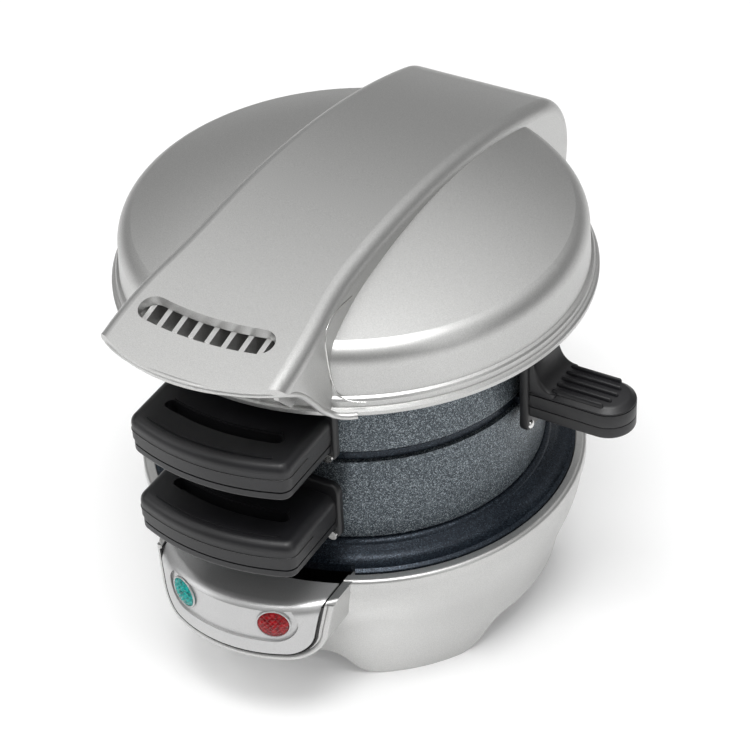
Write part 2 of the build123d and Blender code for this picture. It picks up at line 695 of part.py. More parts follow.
# front handles of the rings
tab_half_width = 11.0
tab_thickness = 2.0
tab_reach = ring_handle_front + 10.0
handle_split = 4.6            # height of the seam above the handle's underside
handle_groove = 2.6           # height of the second, engraved seam line
handle_back = -(ring_radius + 3.8)
handle_corner = 3.6
handle_bevel = 2.8
handle_arc = 62.0
guard_half_width = 26.0
guard_back = -(ring_radius + 1.6)
guard_thickness = 2.6
guard_front = guard_back - guard_thickness
guard_drop = 3.4
guard_rise = 3.8
handle_screw_x = 7.0
handle_screw_y = ring_handle_front + 16.0
handle_screw_radius = 1.45
slot_y = ring_handle_front + 11.9
slot_width = 3.6
slot_half_length = 16.5
ridge_y = ring_handle_front + 3.7
rivet_radius = 1.5


def handle_outline(inset):
    """Plan of a ring handle, moved inwards all round by inset."""
    half = ring_handle_half_width - inset
    front = ring_handle_front + inset
    side_y = front + handle_arc - sqrt(handle_arc**2 - half**2)
    with BuildSketch() as outline:
        with BuildLine():
            ThreePointArc((-half, side_y), (0, front), (half, side_y))
            Polyline((half, side_y), (half, handle_back), (-half, handle_back), (-half, side_y))
        make_face()
        fillet(vertices().group_by(Axis.Y)[0], radius=handle_corner)
    return outline.sketch


def handle_band(y, half_width, thickness):
    """A bent slot in plan that follows the handle's front arc."""
    half_angle = degrees(asin(half_width / handle_arc))
    with BuildLine() as path:
        CenterArc((0, y + handle_arc), handle_arc, 270 - half_angle, 2 * half_angle)
    with BuildSketch() as band:
        SlotArc(path.edge(), thickness)
    return band.sketch


def screw_pair(radius):
    """Plan of the two screw holes of a ring handle."""
    with BuildSketch() as pair:
        with Locations((-handle_screw_x, handle_screw_y), (handle_screw_x, handle_screw_y)):
            Circle(radius)
    return pair.sketch


def handle_tab(low):
    """The ring's flat steel tab that the two handle halves close on."""
    tab_root = -(ring_radius - 1.5)
    with BuildPart() as tab:
        with BuildSketch(Plane.XY.offset(low + handle_split - tab_thickness)):
            with Locations((0, (tab_reach + tab_root) / 2)):
                Rectangle(2 * tab_half_width, tab_root - tab_reach)
            add(screw_pair(handle_screw_radius + screw_gap), mode=Mode.SUBTRACT)
        extrude(amount=tab_thickness)
    return tab


def handle_top_half(low):
    """Upper half of a ring handle with the root guard, the arc slot and the finger ridge."""
    seam = low + handle_split
    top = low + ring_handle_height
    with BuildPart() as half:
        with BuildSketch(Plane.XY.offset(seam)):
            add(handle_outline(0))
        extrude(amount=top - seam)
        fillet(faces().sort_by(Axis.Z)[-1].edges().sort_by(Axis.Y)[:-1], radius=handle_bevel)
        with BuildSketch(Plane.XZ.offset(-guard_back)):
            with Locations((0, (top + guard_rise + low - guard_drop) / 2)):
                RectangleRounded(2 * guard_half_width, ring_handle_height + guard_rise + guard_drop, 3)
        extrude(amount=guard_thickness)
        fillet(faces().sort_by(Axis.Z)[-1].edges().filter_by(Axis.X), radius=0.8)
        with BuildSketch(Plane.XY.offset(top)):
            add(handle_band(slot_y, slot_half_length, slot_width))
        extrude(amount=-4.0, mode=Mode.SUBTRACT)
        # a low lip behind the slot and a fine ridge along the front
        with BuildSketch(Plane.XY.offset(top - 0.2)):
            add(handle_band(slot_y + slot_width / 2 + 0.7, slot_half_length, 0.9))
            add(handle_band(ridge_y, slot_half_length + 2.5, 1.0))
        extrude(amount=0.8)
        with BuildSketch(Plane.XY.offset(seam)):
            add(screw_pair(handle_screw_radius + seat_gap))
        extrude(amount=1.5, mode=Mode.SUBTRACT)
        with BuildSketch(Plane.XY.offset(seam - tab_thickness)):
            with Locations((0, guard_front)):
                Rectangle(2 * (tab_half_width + seat_gap), 4 * guard_thickness)
        extrude(amount=tab_thickness, mode=Mode.SUBTRACT)
    return half


def handle_bottom_half(low):
    """Lower half of a ring handle with its groove, the pocket for the tab and two screw holes."""
    seam = low + handle_split
    with BuildPart() as half:
        with BuildSketch(Plane.XY.offset(low)):
            add(handle_outline(0.3))
        extrude(amount=handle_split)
        fillet(faces().sort_by(Axis.Z)[0].edges().sort_by(Axis.Y)[:-1], radius=1.0)
        with BuildSketch(Plane.XY.offset(low + handle_groove)):
            add(handle_outline(-1))
            add(handle_outline(0.9), mode=Mode.SUBTRACT)
        extrude(amount=0.5, mode=Mode.SUBTRACT)
        # cut back to the front of the guard
        with BuildSketch(Plane.XY.offset(low)):
            with Locations((0, guard_front + ring_radius / 2)):
                Rectangle(4 * guard_half_width, ring_radius)
        extrude(amount=ring_handle_height, mode=Mode.SUBTRACT)
        with BuildSketch(Plane.XY.offset(seam)):
            with Locations((0, (tab_reach - seat_gap + guard_back) / 2)):
                Rectangle(2 * (tab_half_width + seat_gap), guard_back - tab_reach + seat_gap)
        extrude(amount=-tab_thickness, mode=Mode.SUBTRACT)
        with BuildSketch(Plane.XY.offset(low)):
            add(screw_pair(handle_screw_radius + screw_gap))
        extrude(amount=handle_split, mode=Mode.SUBTRACT)
        with BuildSketch(Plane.XY.offset(low)):
            add(screw_pair(3.0))
        extrude(amount=1.2, mode=Mode.SUBTRACT)
    return half


handle_screw = screw(2.8, 1.0, handle_screw_radius, handle_split + 0.2)


def handle_screw_pair(low):
    """Two screws up through the handle's lower half and the tab."""
    with BuildPart() as pair:
        with Locations((-handle_screw_x, handle_screw_y, low + 1.2), (handle_screw_x, handle_screw_y, low + 1.2)):
            add(handle_screw.part)
    return pair


def guard_rivet_pair(low):
    """Two bright rivets through the lower corners of the root guard."""
    with BuildPart() as pair:
        for side in (-1, 1):
            place = (side * (guard_half_width - 2.4), guard_front, low - rivet_radius - 0.15)
            with Locations(Plane(origin=place, z_dir=(0, -1, 0))):
                Cylinder(rivet_radius, 0.9, align=(Align.CENTER, Align.CENTER, Align.MIN))
    return pair


lower_ring_body = ring_body(seat_height, lower_ring_height, lower_arm_x, seat_height + 6, seat_height + 23)
lower_tab = handle_tab(lower_handle_low)
with BuildPart() as lower_ring:
    add(lower_ring_body.part)
    add(lower_tab.part)
lower_ring.part.label = "lower_ring"
export_step(lower_ring.part.moved(saved_place), "parts/lower_ring.step")

lower_handle_top = handle_top_half(lower_handle_low)
lower_handle_top.part.label = "lower_handle_top"
export_step(lower_handle_top.part.moved(saved_place), "parts/lower_handle_top.step")

lower_handle_bottom = handle_bottom_half(lower_handle_low)
lower_handle_bottom.part.label = "lower_handle_bottom"
export_step(lower_handle_bottom.part.moved(saved_place), "parts/lower_handle_bottom.step")

lower_handle_screws = handle_screw_pair(lower_handle_low)
lower_handle_screws.part.label = "lower_handle_screws"
export_step(lower_handle_screws.part.moved(saved_place), "parts/lower_handle_screws.step")

lower_guard_rivets = guard_rivet_pair(lower_handle_low)
lower_guard_rivets.part.label = "lower_guard_rivets"
export_step(lower_guard_rivets.part.moved(saved_place), "parts/lower_guard_rivets.step")

pivot_pin_radius = 2.5
pivot_lug_radius = 7.5
pivot_boss_height = upper_ring_height / 2
upper_ring_body = ring_body(upper_ring_low, upper_ring_height, upper_arm_x, upper_ring_low + 5, upper_ring_low + 18)
upper_tab = handle_tab(upper_handle_low)
with BuildPart() as upper_ring:
    add(upper_ring_body.part)
    add(upper_tab.part)
    # lug at the rear right that carries the cooking plate's pivot
    with BuildSketch(Plane.XY.offset(upper_ring_low)):
        with Locations((pivot_x, pivot_y), (0.78 * pivot_x, 0.78 * pivot_y)):
            Circle(pivot_lug_radius)
        make_hull()
        Circle(ring_bore + 0.5, mode=Mode.SUBTRACT)
    extrude(amount=pivot_boss_height)
    with BuildSketch(Plane.XY.offset(upper_ring_low)):
        with Locations((pivot_x, pivot_y)):
            Circle(pivot_pin_radius)
    extrude(amount=pivot_boss_height, mode=Mode.SUBTRACT)
upper_ring.part.label = "upper_ring"
export_step(upper_ring.part.moved(saved_place), "parts/upper_ring.step")

upper_handle_top = handle_top_half(upper_handle_low)
upper_handle_top.part.label = "upper_handle_top"
export_step(upper_handle_top.part.moved(saved_place), "parts/upper_handle_top.step")

upper_handle_bottom = handle_bottom_half(upper_handle_low)
upper_handle_bottom.part.label = "upper_handle_bottom"
export_step(upper_handle_bottom.part.moved(saved_place), "parts/upper_handle_bottom.step")

upper_handle_screws = handle_screw_pair(upper_handle_low)
upper_handle_screws.part.label = "upper_handle_screws"
export_step(upper_handle_screws.part.moved(saved_place), "parts/upper_handle_screws.step")

upper_guard_rivets = guard_rivet_pair(upper_handle_low)
upper_guard_rivets.part.label = "upper_guard_rivets"
export_step(upper_guard_rivets.part.moved(saved_place), "parts/upper_guard_rivets.step")

pivot_head_radius = 5.0
pivot_head_height = 1.6
with BuildPart() as plate_pivot:
    # pin pressed into the lug, with a wide head under the plate
    with Locations((pivot_x, pivot_y, lower_ring_top)):
        Cylinder(pivot_pin_radius, plate_gap + pivot_boss_height, align=(Align.CENTER, Align.CENTER, Align.MIN))
        Cylinder(pivot_head_radius, pivot_head_height, align=(Align.CENTER, Align.CENTER, Align.MAX))
plate_pivot.part.label = "plate_pivot"
export_step(plate_pivot.part.moved(saved_place), "parts/plate_pivot.step")


# ---------------------------------------------------------------- cooking plate

plate_radius = ring_radius - 0.6
plate_rim = ring_radius - 4.0
plate_hollow = 0.7
plate_tab_reach = side_handle_tip - 7.5
plate_tab_half = 5.5
plate_screw_x = side_handle_tip - 15.5
plate_screw_radius = 1.45

with BuildPart() as cooking_plate:
    # thin disc, dished on both faces, with a lobe to the pivot and a tab for the handle
    with BuildSketch(Plane.XY.offset(plate_low)):
        Circle(plate_radius)
        with Locations(((plate_rim + plate_tab_reach) / 2, 0)):
            Rectangle(plate_tab_reach - plate_rim, 2 * plate_tab_half)
    extrude(amount=plate_high - plate_low)
    with BuildSketch(Plane.XY.offset(plate_low)):
        with Locations((pivot_x, pivot_y)):
            Circle(pivot_lug_radius - 0.5)
        with Locations((0.68 * pivot_x, 0.68 * pivot_y)):
            Circle(pivot_lug_radius + 2)
        make_hull()
    extrude(amount=plate_high - plate_low)
    for face_plane in (Plane.XY.offset(plate_high), -Plane.XY.offset(plate_low)):
        with BuildSketch(face_plane):
            Circle(plate_rim)
        extrude(amount=-plate_hollow, taper=30, mode=Mode.SUBTRACT)
    with BuildSketch(Plane.XY.offset(plate_low)):
        with Locations((pivot_x, pivot_y)):
            Circle(pivot_pin_radius + turn_gap)
        with Locations((plate_screw_x, 0)):
            Circle(plate_screw_radius + screw_gap)
    extrude(amount=plate_high - plate_low, mode=Mode.SUBTRACT)
cooking_plate.part.label = "cooking_plate"
export_step(cooking_plate.part.moved(saved_place), "parts/cooking_plate.step")

side_root = ring_radius + 2.3
side_guard_thickness = 3.2
side_guard_foot = 10.0        # half width of the guard at the handle
side_guard_waist = 8.3
side_guard_head = 8.9
side_guard_top = cover_low - 2.7
side_handle_top = side_handle_low + side_handle_height
rib_start = side_handle_tip - 22.0
rib_end = side_handle_tip - 7.0
rib_pitch = 3.0
rib_width = 1.7


def side_outline(inset):
    """Plan of the plate's handle: straight sides and a round end."""
    half = side_handle_half_width - inset
    centre = side_handle_tip - side_handle_half_width
    with BuildSketch() as outline:
        with Locations((centre, 0)):
            Circle(half)
        with Locations(((side_root + centre) / 2, 0)):
            Rectangle(centre - side_root, 2 * half)
    return outline.sketch


with BuildPart() as plate_handle_top:
    with BuildSketch(Plane.XY.offset(plate_high)):
        add(side_outline(0))
    extrude(amount=side_handle_top - plate_high)
    fillet(faces().sort_by(Axis.Z)[-1].edges().sort_by(Axis.X)[1:], radius=(side_handle_top - plate_high) / 4)
    # the guard against the hot ring, swept up from the handle by a hollow curve
    with BuildSketch(Plane.XZ):
        with BuildLine():
            guard_out = side_root + side_guard_thickness
            Polyline((side_root, plate_high), (side_root, side_guard_top), (guard_out - 0.6, side_guard_top),
                     (guard_out, side_guard_top - 1.5), (guard_out + 0.3, side_handle_top + 6.0))
            TangentArc((guard_out + 0.3, side_handle_top + 6.0), (guard_out + 5.8, side_handle_top),
                       tangent=(0.05, -1))
            Polyline((guard_out + 5.8, side_handle_top), (guard_out + 5.8, plate_high), (side_root, plate_high))
        make_face()
    extrude(amount=side_guard_foot, both=True)
    # seen from the side the guard has hollow flanks and round top corners
    with BuildSketch(Plane.YZ.offset(side_root)):
        with BuildLine():
            waist_height = (side_handle_top + side_guard_top) / 2
            for side in (-1, 1):
                Line((side * side_guard_foot, plate_high), (side * side_guard_foot, side_handle_top))
                ThreePointArc((side * side_guard_foot, side_handle_top), (side * side_guard_waist, waist_height),
                              (side * side_guard_head, side_guard_top))
            Line((-side_guard_head, side_guard_top), (side_guard_head, side_guard_top))
            Line((-side_guard_foot, plate_high), (side_guard_foot, plate_high))
        make_face()
        fillet(vertices().group_by(Axis.Y)[-1], radius=3.0)
    extrude(amount=50, mode=Mode.INTERSECT)
    # five grip ribs stand in the sunk top
    with BuildSketch(Plane.XY.offset(side_handle_top)):
        for step in range(-2, 3):
            end = rib_end - (2.2 if abs(step) == 2 else 0.0)
            with Locations(((rib_start + end) / 2, step * rib_pitch)):
                SlotOverall(end - rib_start, rib_width)
    extrude(amount=-1.0, mode=Mode.SUBTRACT)
    with BuildSketch(Plane.XY.offset(plate_high)):
        with Locations((plate_screw_x, 0)):
            Circle(plate_screw_radius + seat_gap)
    extrude(amount=3.0, mode=Mode.SUBTRACT)
plate_handle_top.part.label = "plate_handle_top"
export_step(plate_handle_top.part.moved(saved_place), "parts/plate_handle_top.step")

with BuildPart() as plate_handle_bottom:
    with BuildSketch(Plane.XY.offset(side_handle_low)):
        add(side_outline(0.3))
    extrude(amount=plate_high - side_handle_low)
    fillet(faces().sort_by(Axis.Z)[0].edges().sort_by(Axis.X)[1:], radius=1.0)
    with BuildSketch(Plane.XY.offset(plate_high)):
        with Locations(((side_root + plate_tab_reach + seat_gap) / 2, 0)):
            Rectangle(plate_tab_reach - side_root + seat_gap, 2 * (plate_tab_half + seat_gap))
    extrude(amount=plate_low - plate_high, mode=Mode.SUBTRACT)
    with BuildSketch(Plane.XY.offset(side_handle_low)):
        with Locations((plate_screw_x, 0)):
            Circle(plate_screw_radius + screw_gap)
    extrude(amount=side_handle_height, mode=Mode.SUBTRACT)
plate_handle_bottom.part.label = "plate_handle_bottom"
export_step(plate_handle_bottom.part.moved(saved_place), "parts/plate_handle_bottom.step")

plate_screw = screw(2.8, 0.9, plate_screw_radius, plate_high - side_handle_low + 2.5)
with BuildPart() as plate_handle_screw:
    with Locations((plate_screw_x, 0, side_handle_low)):
        add(plate_screw.part)
plate_handle_screw.part.label = "plate_handle_screw"
export_step(plate_handle_screw.part.moved(saved_place), "parts/plate_handle_screw.step")


# ---------------------------------------------------------------- cover

shell_wall = 1.8
dome_edge = dome_radius - 4.2  # radius where the dome turns over into the wall
bridge_wall = 2.5
bridge_roll = 4.0             # rounding of the bridge's long edges
bridge_draft = 2.0            # degrees
grip_thickness = 2.8
grip_lip = 1.4                # thickness of the grip's front edge
housing_front = ring_radius + 4.0
housing_inner_half = bridge_half_width - bridge_wall
cheek_radius = 9.5
tongue_slot_half = 7.2
tongue_slot_top = hinge_z + 22.0
upper_plate_low = upper_ring_top + fit_gap
upper_plate_thickness = 4.0
liner_low = cover_low + 8.5
liner_top = dome_top - 13.5
liner_flat = ring_radius - 8.0
liner_drop = 2.0
liner_wall = 1.0
cover_screw_radius = 1.45
cover_screw_distance = 30.0   # from the dome's middle
cover_screw_angle = 55.0
cover_screw_bite = 1.7


def dome_profile(inset, low):
    """Half outline of the cover, moved inwards, closed along the axis and at a low height."""
    edge = dome_edge - inset * 0.6
    edge_height = dome_level(edge, inset)
    wall = dome_radius - inset
    with BuildSketch() as profile:
        with BuildLine():
            ThreePointArc((0, dome_level(0, inset)), (edge / 2, dome_level(edge / 2, inset)), (edge, edge_height))
            ThreePointArc((edge, edge_height), (wall - 1.1, edge_height - 2.6), (wall, edge_height - 7.0))
            Polyline((wall, edge_height - 7.0), (wall + 0.4, cover_low + 5.2), (wall + 0.4, low), (0, low),
                     (0, dome_level(0, inset)))
        make_face()
    return profile.sketch


def flange_profile():
    """Two stepped beads round the lip of the cover."""
    inner = dome_radius - 0.5
    with BuildSketch() as profile:
        with BuildLine():
            Polyline((inner, cover_low), (flange_radius - 0.5, cover_low), (flange_radius, cover_low + 0.5),
                     (flange_radius, cover_low + 1.6), (flange_radius - 0.5, cover_low + 2.1),
                     (flange_radius - 1.2, cover_low + 2.3), (flange_radius - 1.2, cover_low + 4.2),
                     (flange_radius - 1.6, cover_low + 4.8), (inner + 0.9, cover_low + 5.2),
                     (inner, cover_low + 5.2), close=True)
        make_face()
    return profile.sketch


with BuildPart() as cover_solid:
    # the cover's outside as one solid, used to seat the bridge and the grille on it
    with BuildSketch(Plane.XZ):
        add(dome_profile(0, cover_low))
        add(flange_profile())
    revolve(axis=Axis.Z)

with BuildPart() as cover_screw_holes:
    # four blind holes up through the shell into the bridge
    with PolarLocations(cover_screw_distance, 2, start_angle=cover_screw_angle,
                        angular_range=180 - 2 * cover_screw_angle, endpoint=True):
        Cylinder(cover_screw_radius + seat_gap, 2 * (dome_level(cover_screw_distance) + cover_screw_bite + 0.1))
    mirror(about=Plane.XZ)

with BuildPart() as cover_shell:
    add(cover_solid.part)
    with BuildSketch(Plane.XZ):
        add(dome_profile(shell_wall, cover_low - 1))
    revolve(axis=Axis.Z, mode=Mode.SUBTRACT)
    # inner ledge for the liner
    with BuildSketch(Plane.XY.offset(liner_low - 1.6)):
        Circle(dome_radius - 1.0)
        Circle(dome_radius - 4.7, mode=Mode.SUBTRACT)
    extrude(amount=1.6)
    add(cover_screw_holes.part, mode=Mode.SUBTRACT)
cover_shell.part.label = "cover_shell"
export_step(cover_shell.part.moved(saved_place), "parts/cover_shell.step")

cover_screw_seat = dome_level(cover_screw_distance + 3.0, shell_wall) - seat_gap
cover_screw = screw(2.8, 1.6, cover_screw_radius,
                    dome_level(cover_screw_distance) + cover_screw_bite - cover_screw_seat)
with BuildPart() as cover_screws:
    # four screws from inside the shell up into the bridge
    with Locations(Plane.XY.offset(cover_screw_seat)):
        with PolarLocations(cover_screw_distance, 2, start_angle=cover_screw_angle,
                            angular_range=180 - 2 * cover_screw_angle, endpoint=True):
            add(cover_screw.part)
    mirror(about=Plane.XZ)
cover_screws.part.label = "cover_screws"
export_step(cover_screws.part.moved(saved_place), "parts/cover_screws.step")

waist_y = cover_front + 56.0  # where the straight spine starts to widen into the grip
skirt_y = cover_front + 8.0   # where the skirts run out under the grip
rear_top_y = hinge_y - 2.0
rear_slope = (1, (bridge_peak_y - rear_top_y) / sqrt(bridge_sphere**2 - (rear_top_y - bridge_peak_y) ** 2))
rear_foot = (hinge_y + cheek_radius, hinge_z + 2)


def arched_side(inset, front):
    """Side view of the bridge, moved inwards: its long arch and its rear wall, down to below the hinge."""
    top_end = (rear_top_y, arch_height(rear_top_y, inset))
    shoulder = (housing_back - inset - 0.4, hinge_z + 36)
    foot = (rear_foot[0] - inset, rear_foot[1])
    low = hinge_z - 2 * cheek_radius
    middle = (front + rear_top_y) / 2
    with BuildSketch() as side_view:
        with BuildLine():
            ThreePointArc((front, arch_height(front, inset)), (middle, arch_height(middle, inset)), top_end)
            bend = TangentArc(top_end, shoulder, tangent=rear_slope)
            TangentArc(shoulder, foot, tangent=bend % 1)
            Polyline(foot, (foot[0], low), (front, low), (front, arch_height(front, inset)))
        make_face()
    return side_view.sketch


def bridge_plan(inset, front):
    """Plan of the bridge's sides: wide at the grip, a waist and a straight spine to the back."""
    grip = grip_half_width - inset
    spine = bridge_half_width - inset
    grip_y = cover_front + 12
    back = housing_back + 5
    with BuildSketch() as plan:
        with BuildLine():
            for side in (-1, 1):
                middle = (side * (grip + spine) / 2, (grip_y + waist_y) / 2)
                Line((side * grip, front), (side * grip, grip_y))
                TangentArc((side * grip, grip_y), middle, tangent=(0, 1))
                TangentArc((side * spine, waist_y), middle, tangent=(0, -1))
                Line((side * spine, waist_y), (side * spine, back))
            Line((-spine, back), (spine, back))
            Line((-grip, front), (grip, front))
        make_face()
    return plan.sketch


def bridge_sides(inset):
    """Block with the bridge's sides, moved inwards, that lean out a little towards the table."""
    with BuildPart() as block:
        with BuildSketch(Plane.XY.offset(bridge_top + 1)):
            add(bridge_plan(inset, cover_front - 10))
        extrude(amount=-bridge_top, taper=-bridge_draft)
    return block


bridge_outside = bridge_sides(0)
bridge_inside = bridge_sides(bridge_wall)
grille_inside = bridge_sides(bridge_wall + seat_gap)

with BuildPart() as bridge_hull:
    # the whole bridge as one long block with rolled edges
    with BuildSketch(Plane.YZ):
        add(arched_side(0, cover_front - 15))
    extrude(amount=2 * bridge_half_width, both=True)
    add(bridge_outside.part, mode=Mode.INTERSECT)
    fillet(faces().filter_by(GeomType.CYLINDER).sort_by(Axis.Z)[-1].edges().filter_by(Axis.X, reverse=True),
           radius=bridge_roll)

with BuildPart() as bridge_lower_edge:
    # what lies above the underside of the grip, the skirts, the lip and the hinge cheeks
    with BuildSketch(Plane.YZ):
        with BuildLine():
            high = bridge_top + 20
            front = cover_front - 15
            lip = (cover_front, arch_height(cover_front, grip_lip))
            skirt_end = (skirt_y, arch_height(skirt_y, grip_thickness))
            Polyline((front, lip[1]), lip, skirt_end)
            Spline(skirt_end, (skirt_y + 8.0, cover_low + 16.7), (skirt_y + 15.2, cover_low + 8.3),
                   (skirt_y + 23.0, cover_low))
            Polyline((skirt_y + 23.0, cover_low), (housing_front, cover_low), (housing_front + 3, cover_low - 3.7),
                     (hinge_y - cheek_radius, hinge_z + 2))
            ThreePointArc((hinge_y - cheek_radius, hinge_z + 2), (hinge_y, hinge_z - cheek_radius + 1.5), rear_foot)
            Polyline(rear_foot, (housing_back + 20, hinge_z + 2), (housing_back + 20, high), (front, high),
                     (front, lip[1]))
        make_face()
    extrude(amount=2 * bridge_half_width, both=True)

with BuildPart() as bridge_front_edge:
    # the grip's front edge in plan: a wide arc with round corners
    with BuildSketch():
        with BuildLine():
            corner_x = grip_half_width + 0.5
            corner_y = cover_front + 8.0
            ThreePointArc((-corner_x, corner_y), (0, cover_front), (corner_x, corner_y))
            Polyline((corner_x, corner_y), (corner_x + 3, corner_y + 20), (corner_x + 3, housing_back + 20),
                     (-corner_x - 3, housing_back + 20), (-corner_x - 3, corner_y + 20), (-corner_x, corner_y))
        make_face()
        fillet(vertices().group_by(Axis.Y)[0], radius=4.0)
    extrude(amount=2 * bridge_top)

grip_slot_y = cover_front + 17.2
grip_slot_width = 8.2
grip_slot_half = 20.4
grip_slot_x = -1.6            # the slot sits a little left of the middle
grip_slot_arc = 95.0
with BuildLine() as slot_path:
    slot_half_angle = degrees(asin((grip_slot_half - grip_slot_width / 2) / grip_slot_arc))
    CenterArc((grip_slot_x, grip_slot_y + grip_slot_arc), grip_slot_arc, 270 - slot_half_angle,
              2 * slot_half_angle)
with BuildSketch() as slot_sketch:
    SlotArc(slot_path.edge(), grip_slot_width)
grip_slot = slot_sketch.sketch

with BuildPart() as grip_room:
    # the room under the grip, between the skirts
    with BuildSketch(Plane.YZ):
        with BuildLine():
            front = cover_front - 5
            back = cover_front + 47
            middle = (front + back) / 2
            ThreePointArc((front, arch_height(front, grip_thickness)), (middle, arch_height(middle, grip_thickness)),
                          (back, arch_height(back, grip_thickness)))
            Polyline((back, arch_height(back, grip_thickness)), (back, cover_low - 5), (front, cover_low - 5),
                     (front, arch_height(front, grip_thickness)))
        make_face()
    extrude(amount=2 * bridge_half_width, both=True)
    add(bridge_inside.part, mode=Mode.INTERSECT)

with BuildPart() as housing_room:
    # the hollow of the rear housing round the ring arms and the hinge
    with BuildSketch(Plane.YZ):
        add(arched_side(bridge_wall, housing_front - 10))
    extrude(amount=housing_inner_half, both=True)

with BuildPart() as cover_bridge:
    add(bridge_hull.part)
    add(bridge_lower_edge.part, mode=Mode.INTERSECT)
    add(bridge_front_edge.part, mode=Mode.INTERSECT)
    add(cover_solid.part, mode=Mode.SUBTRACT)
    add(grip_room.part, mode=Mode.SUBTRACT)
    add(housing_room.part, mode=Mode.SUBTRACT)
    # lugs inside the cheeks, bored right through for the pin, with a seat for each clip
    for side in (-1, 1):
        with BuildSketch(Plane.YZ.offset(side * cover_lug_start)):
            with Locations((hinge_y, hinge_z)):
                Circle(lug_radius)
        extrude(amount=side * (housing_inner_half - cover_lug_start))
    with BuildSketch(hinge_plane):
        Circle(pin_radius + turn_gap)
    extrude(amount=2 * pin_half_length, both=True, mode=Mode.SUBTRACT)
    for side in (-1, 1):
        with BuildSketch(hinge_plane.offset(side * (clip_seat - screw_gap))):
            Circle(clip_radius + 0.5)
        extrude(amount=side * pin_half_length, mode=Mode.SUBTRACT)
    # slot in the rear wall for the bracket's tongue
    with BuildSketch(Plane.XZ.offset(-hinge_y)):
        with Locations((0, tongue_slot_top - hinge_z / 2)):
            RectangleRounded(2 * tongue_slot_half, hinge_z, 4)
    extrude(amount=-2 * cheek_radius, mode=Mode.SUBTRACT)
    # the arc slot in the grip, and the holes for the cover's screws
    with BuildSketch(Plane.XY.offset(bridge_top)):
        add(grip_slot)
    extrude(amount=-20, mode=Mode.SUBTRACT)
    add(cover_screw_holes.part, mode=Mode.SUBTRACT)
cover_bridge.part.label = "cover_bridge"
export_step(cover_bridge.part.moved(saved_place), "parts/cover_bridge.step")

fin_count = 9
fin_pitch = 5.0
fin_thickness = 1.5
fin_front = -(flange_radius + 7.0)
fin_root = -(dome_radius - 4.2)
fin_low = cover_low + 6.0
with BuildPart() as cover_grille:
    # upright fins on a curved back, under the grip
    with BuildSketch(Plane.XY.offset(fin_low)):
        Circle(dome_radius + 2.4)
        Circle(dome_radius + 0.5, mode=Mode.SUBTRACT)
        with Locations((0, fin_front)):
            Rectangle(2 * grip_half_width, 2 * (fin_root - fin_front), mode=Mode.INTERSECT)
    extrude(amount=11.5)
    with BuildSketch(Plane.XY.offset(fin_low)):
        with Locations((0, (fin_front + fin_root) / 2)):
            with GridLocations(fin_pitch, 0, fin_count, 1):
                Rectangle(fin_thickness, fin_root - fin_front)
    extrude(amount=2 * dome_height)
    # the lower front corners of the fins are cut off slantwise
    with BuildSketch(Plane.YZ):
        Polygon((fin_front - 1, fin_low - 1), (fin_front - 1, fin_low + 7), (fin_front + 5.5, fin_low),
                (fin_front + 5.5, fin_low - 1), align=None)
    extrude(amount=2 * grip_half_width, both=True, mode=Mode.SUBTRACT)
    # it fits into the room under the grip, and on the cover
    add(grip_room.part.moved(Location((0, 0, -seat_gap))), mode=Mode.INTERSECT)
    add(grille_inside.part, mode=Mode.INTERSECT)
    add(cover_solid.part, mode=Mode.SUBTRACT)
cover_grille.part.label = "cover_grille"
export_step(cover_grille.part.moved(saved_place), "parts/cover_grille.step")

liner_radius = dome_radius - shell_wall - 0.8
with BuildPart() as cover_liner:
    # dished reflector above the upper plate, its rim on the shell's ledge
    with BuildSketch(Plane.XZ):
        with BuildLine():
            Polyline((0, liner_top), (liner_flat, liner_top - liner_drop), (liner_radius - 6.6, liner_low + liner_wall),
                     (liner_radius, liner_low + liner_wall), (liner_radius, liner_low), (liner_radius - 7.2, liner_low),
                     (liner_flat - 0.6, liner_top - liner_drop - liner_wall), (0, liner_top - liner_wall), close=True)
        make_face()
    revolve(axis=Axis.Z)
cover_liner.part.label = "cover_liner"
export_step(cover_liner.part.moved(saved_place), "parts/cover_liner.step")

upper_plate_radius = ring_radius + 3.5
upper_plate_high = upper_plate_low + upper_plate_thickness
post_distance = ring_radius - 30.0
post_rise = 4.0
with BuildPart() as upper_heating_plate:
    # disc with a raised rim, three bosses on its back
    with BuildSketch(Plane.XZ):
        with BuildLine():
            Polyline((0, upper_plate_low + 0.5), (dish_radius, upper_plate_low + 0.5),
                     (dish_radius + 1.2, upper_plate_low), (upper_plate_radius - 1.5, upper_plate_low),
                     (upper_plate_radius, upper_plate_low + 1.5), (upper_plate_radius, upper_plate_high + post_rise),
                     (upper_plate_radius - 1.8, upper_plate_high + post_rise),
                     (upper_plate_radius - 1.8, upper_plate_high), (0, upper_plate_high), close=True)
        make_face()
    revolve(axis=Axis.Z)
    with BuildSketch(Plane.XY.offset(upper_plate_high)):
        with PolarLocations(post_distance, 3, start_angle=30):
            Circle(4.0)
    extrude(amount=post_rise)
upper_heating_plate.part.label = "upper_heating_plate"
export_step(upper_heating_plate.part.moved(saved_place), "parts/upper_heating_plate.step")

upper_heater = heater(upper_plate_high + heater_tube, 7.0)
upper_heater.part.label = "upper_heater"
export_step(upper_heater.part.moved(saved_place), "parts/upper_heater.step")

post_top = liner_top - liner_wall - liner_drop * (post_distance + 3.0) / (liner_flat - 0.6)
with BuildPart() as plate_posts:
    # three sleeves that hang the upper plate from the liner
    with BuildSketch(Plane.XY.offset(upper_plate_high + post_rise)):
        with PolarLocations(post_distance, 3, start_angle=30):
            Circle(3.0)
    extrude(amount=post_top - upper_plate_high - post_rise)
plate_posts.part.label = "plate_posts"
export_step(plate_posts.part.moved(saved_place), "parts/plate_posts.step")
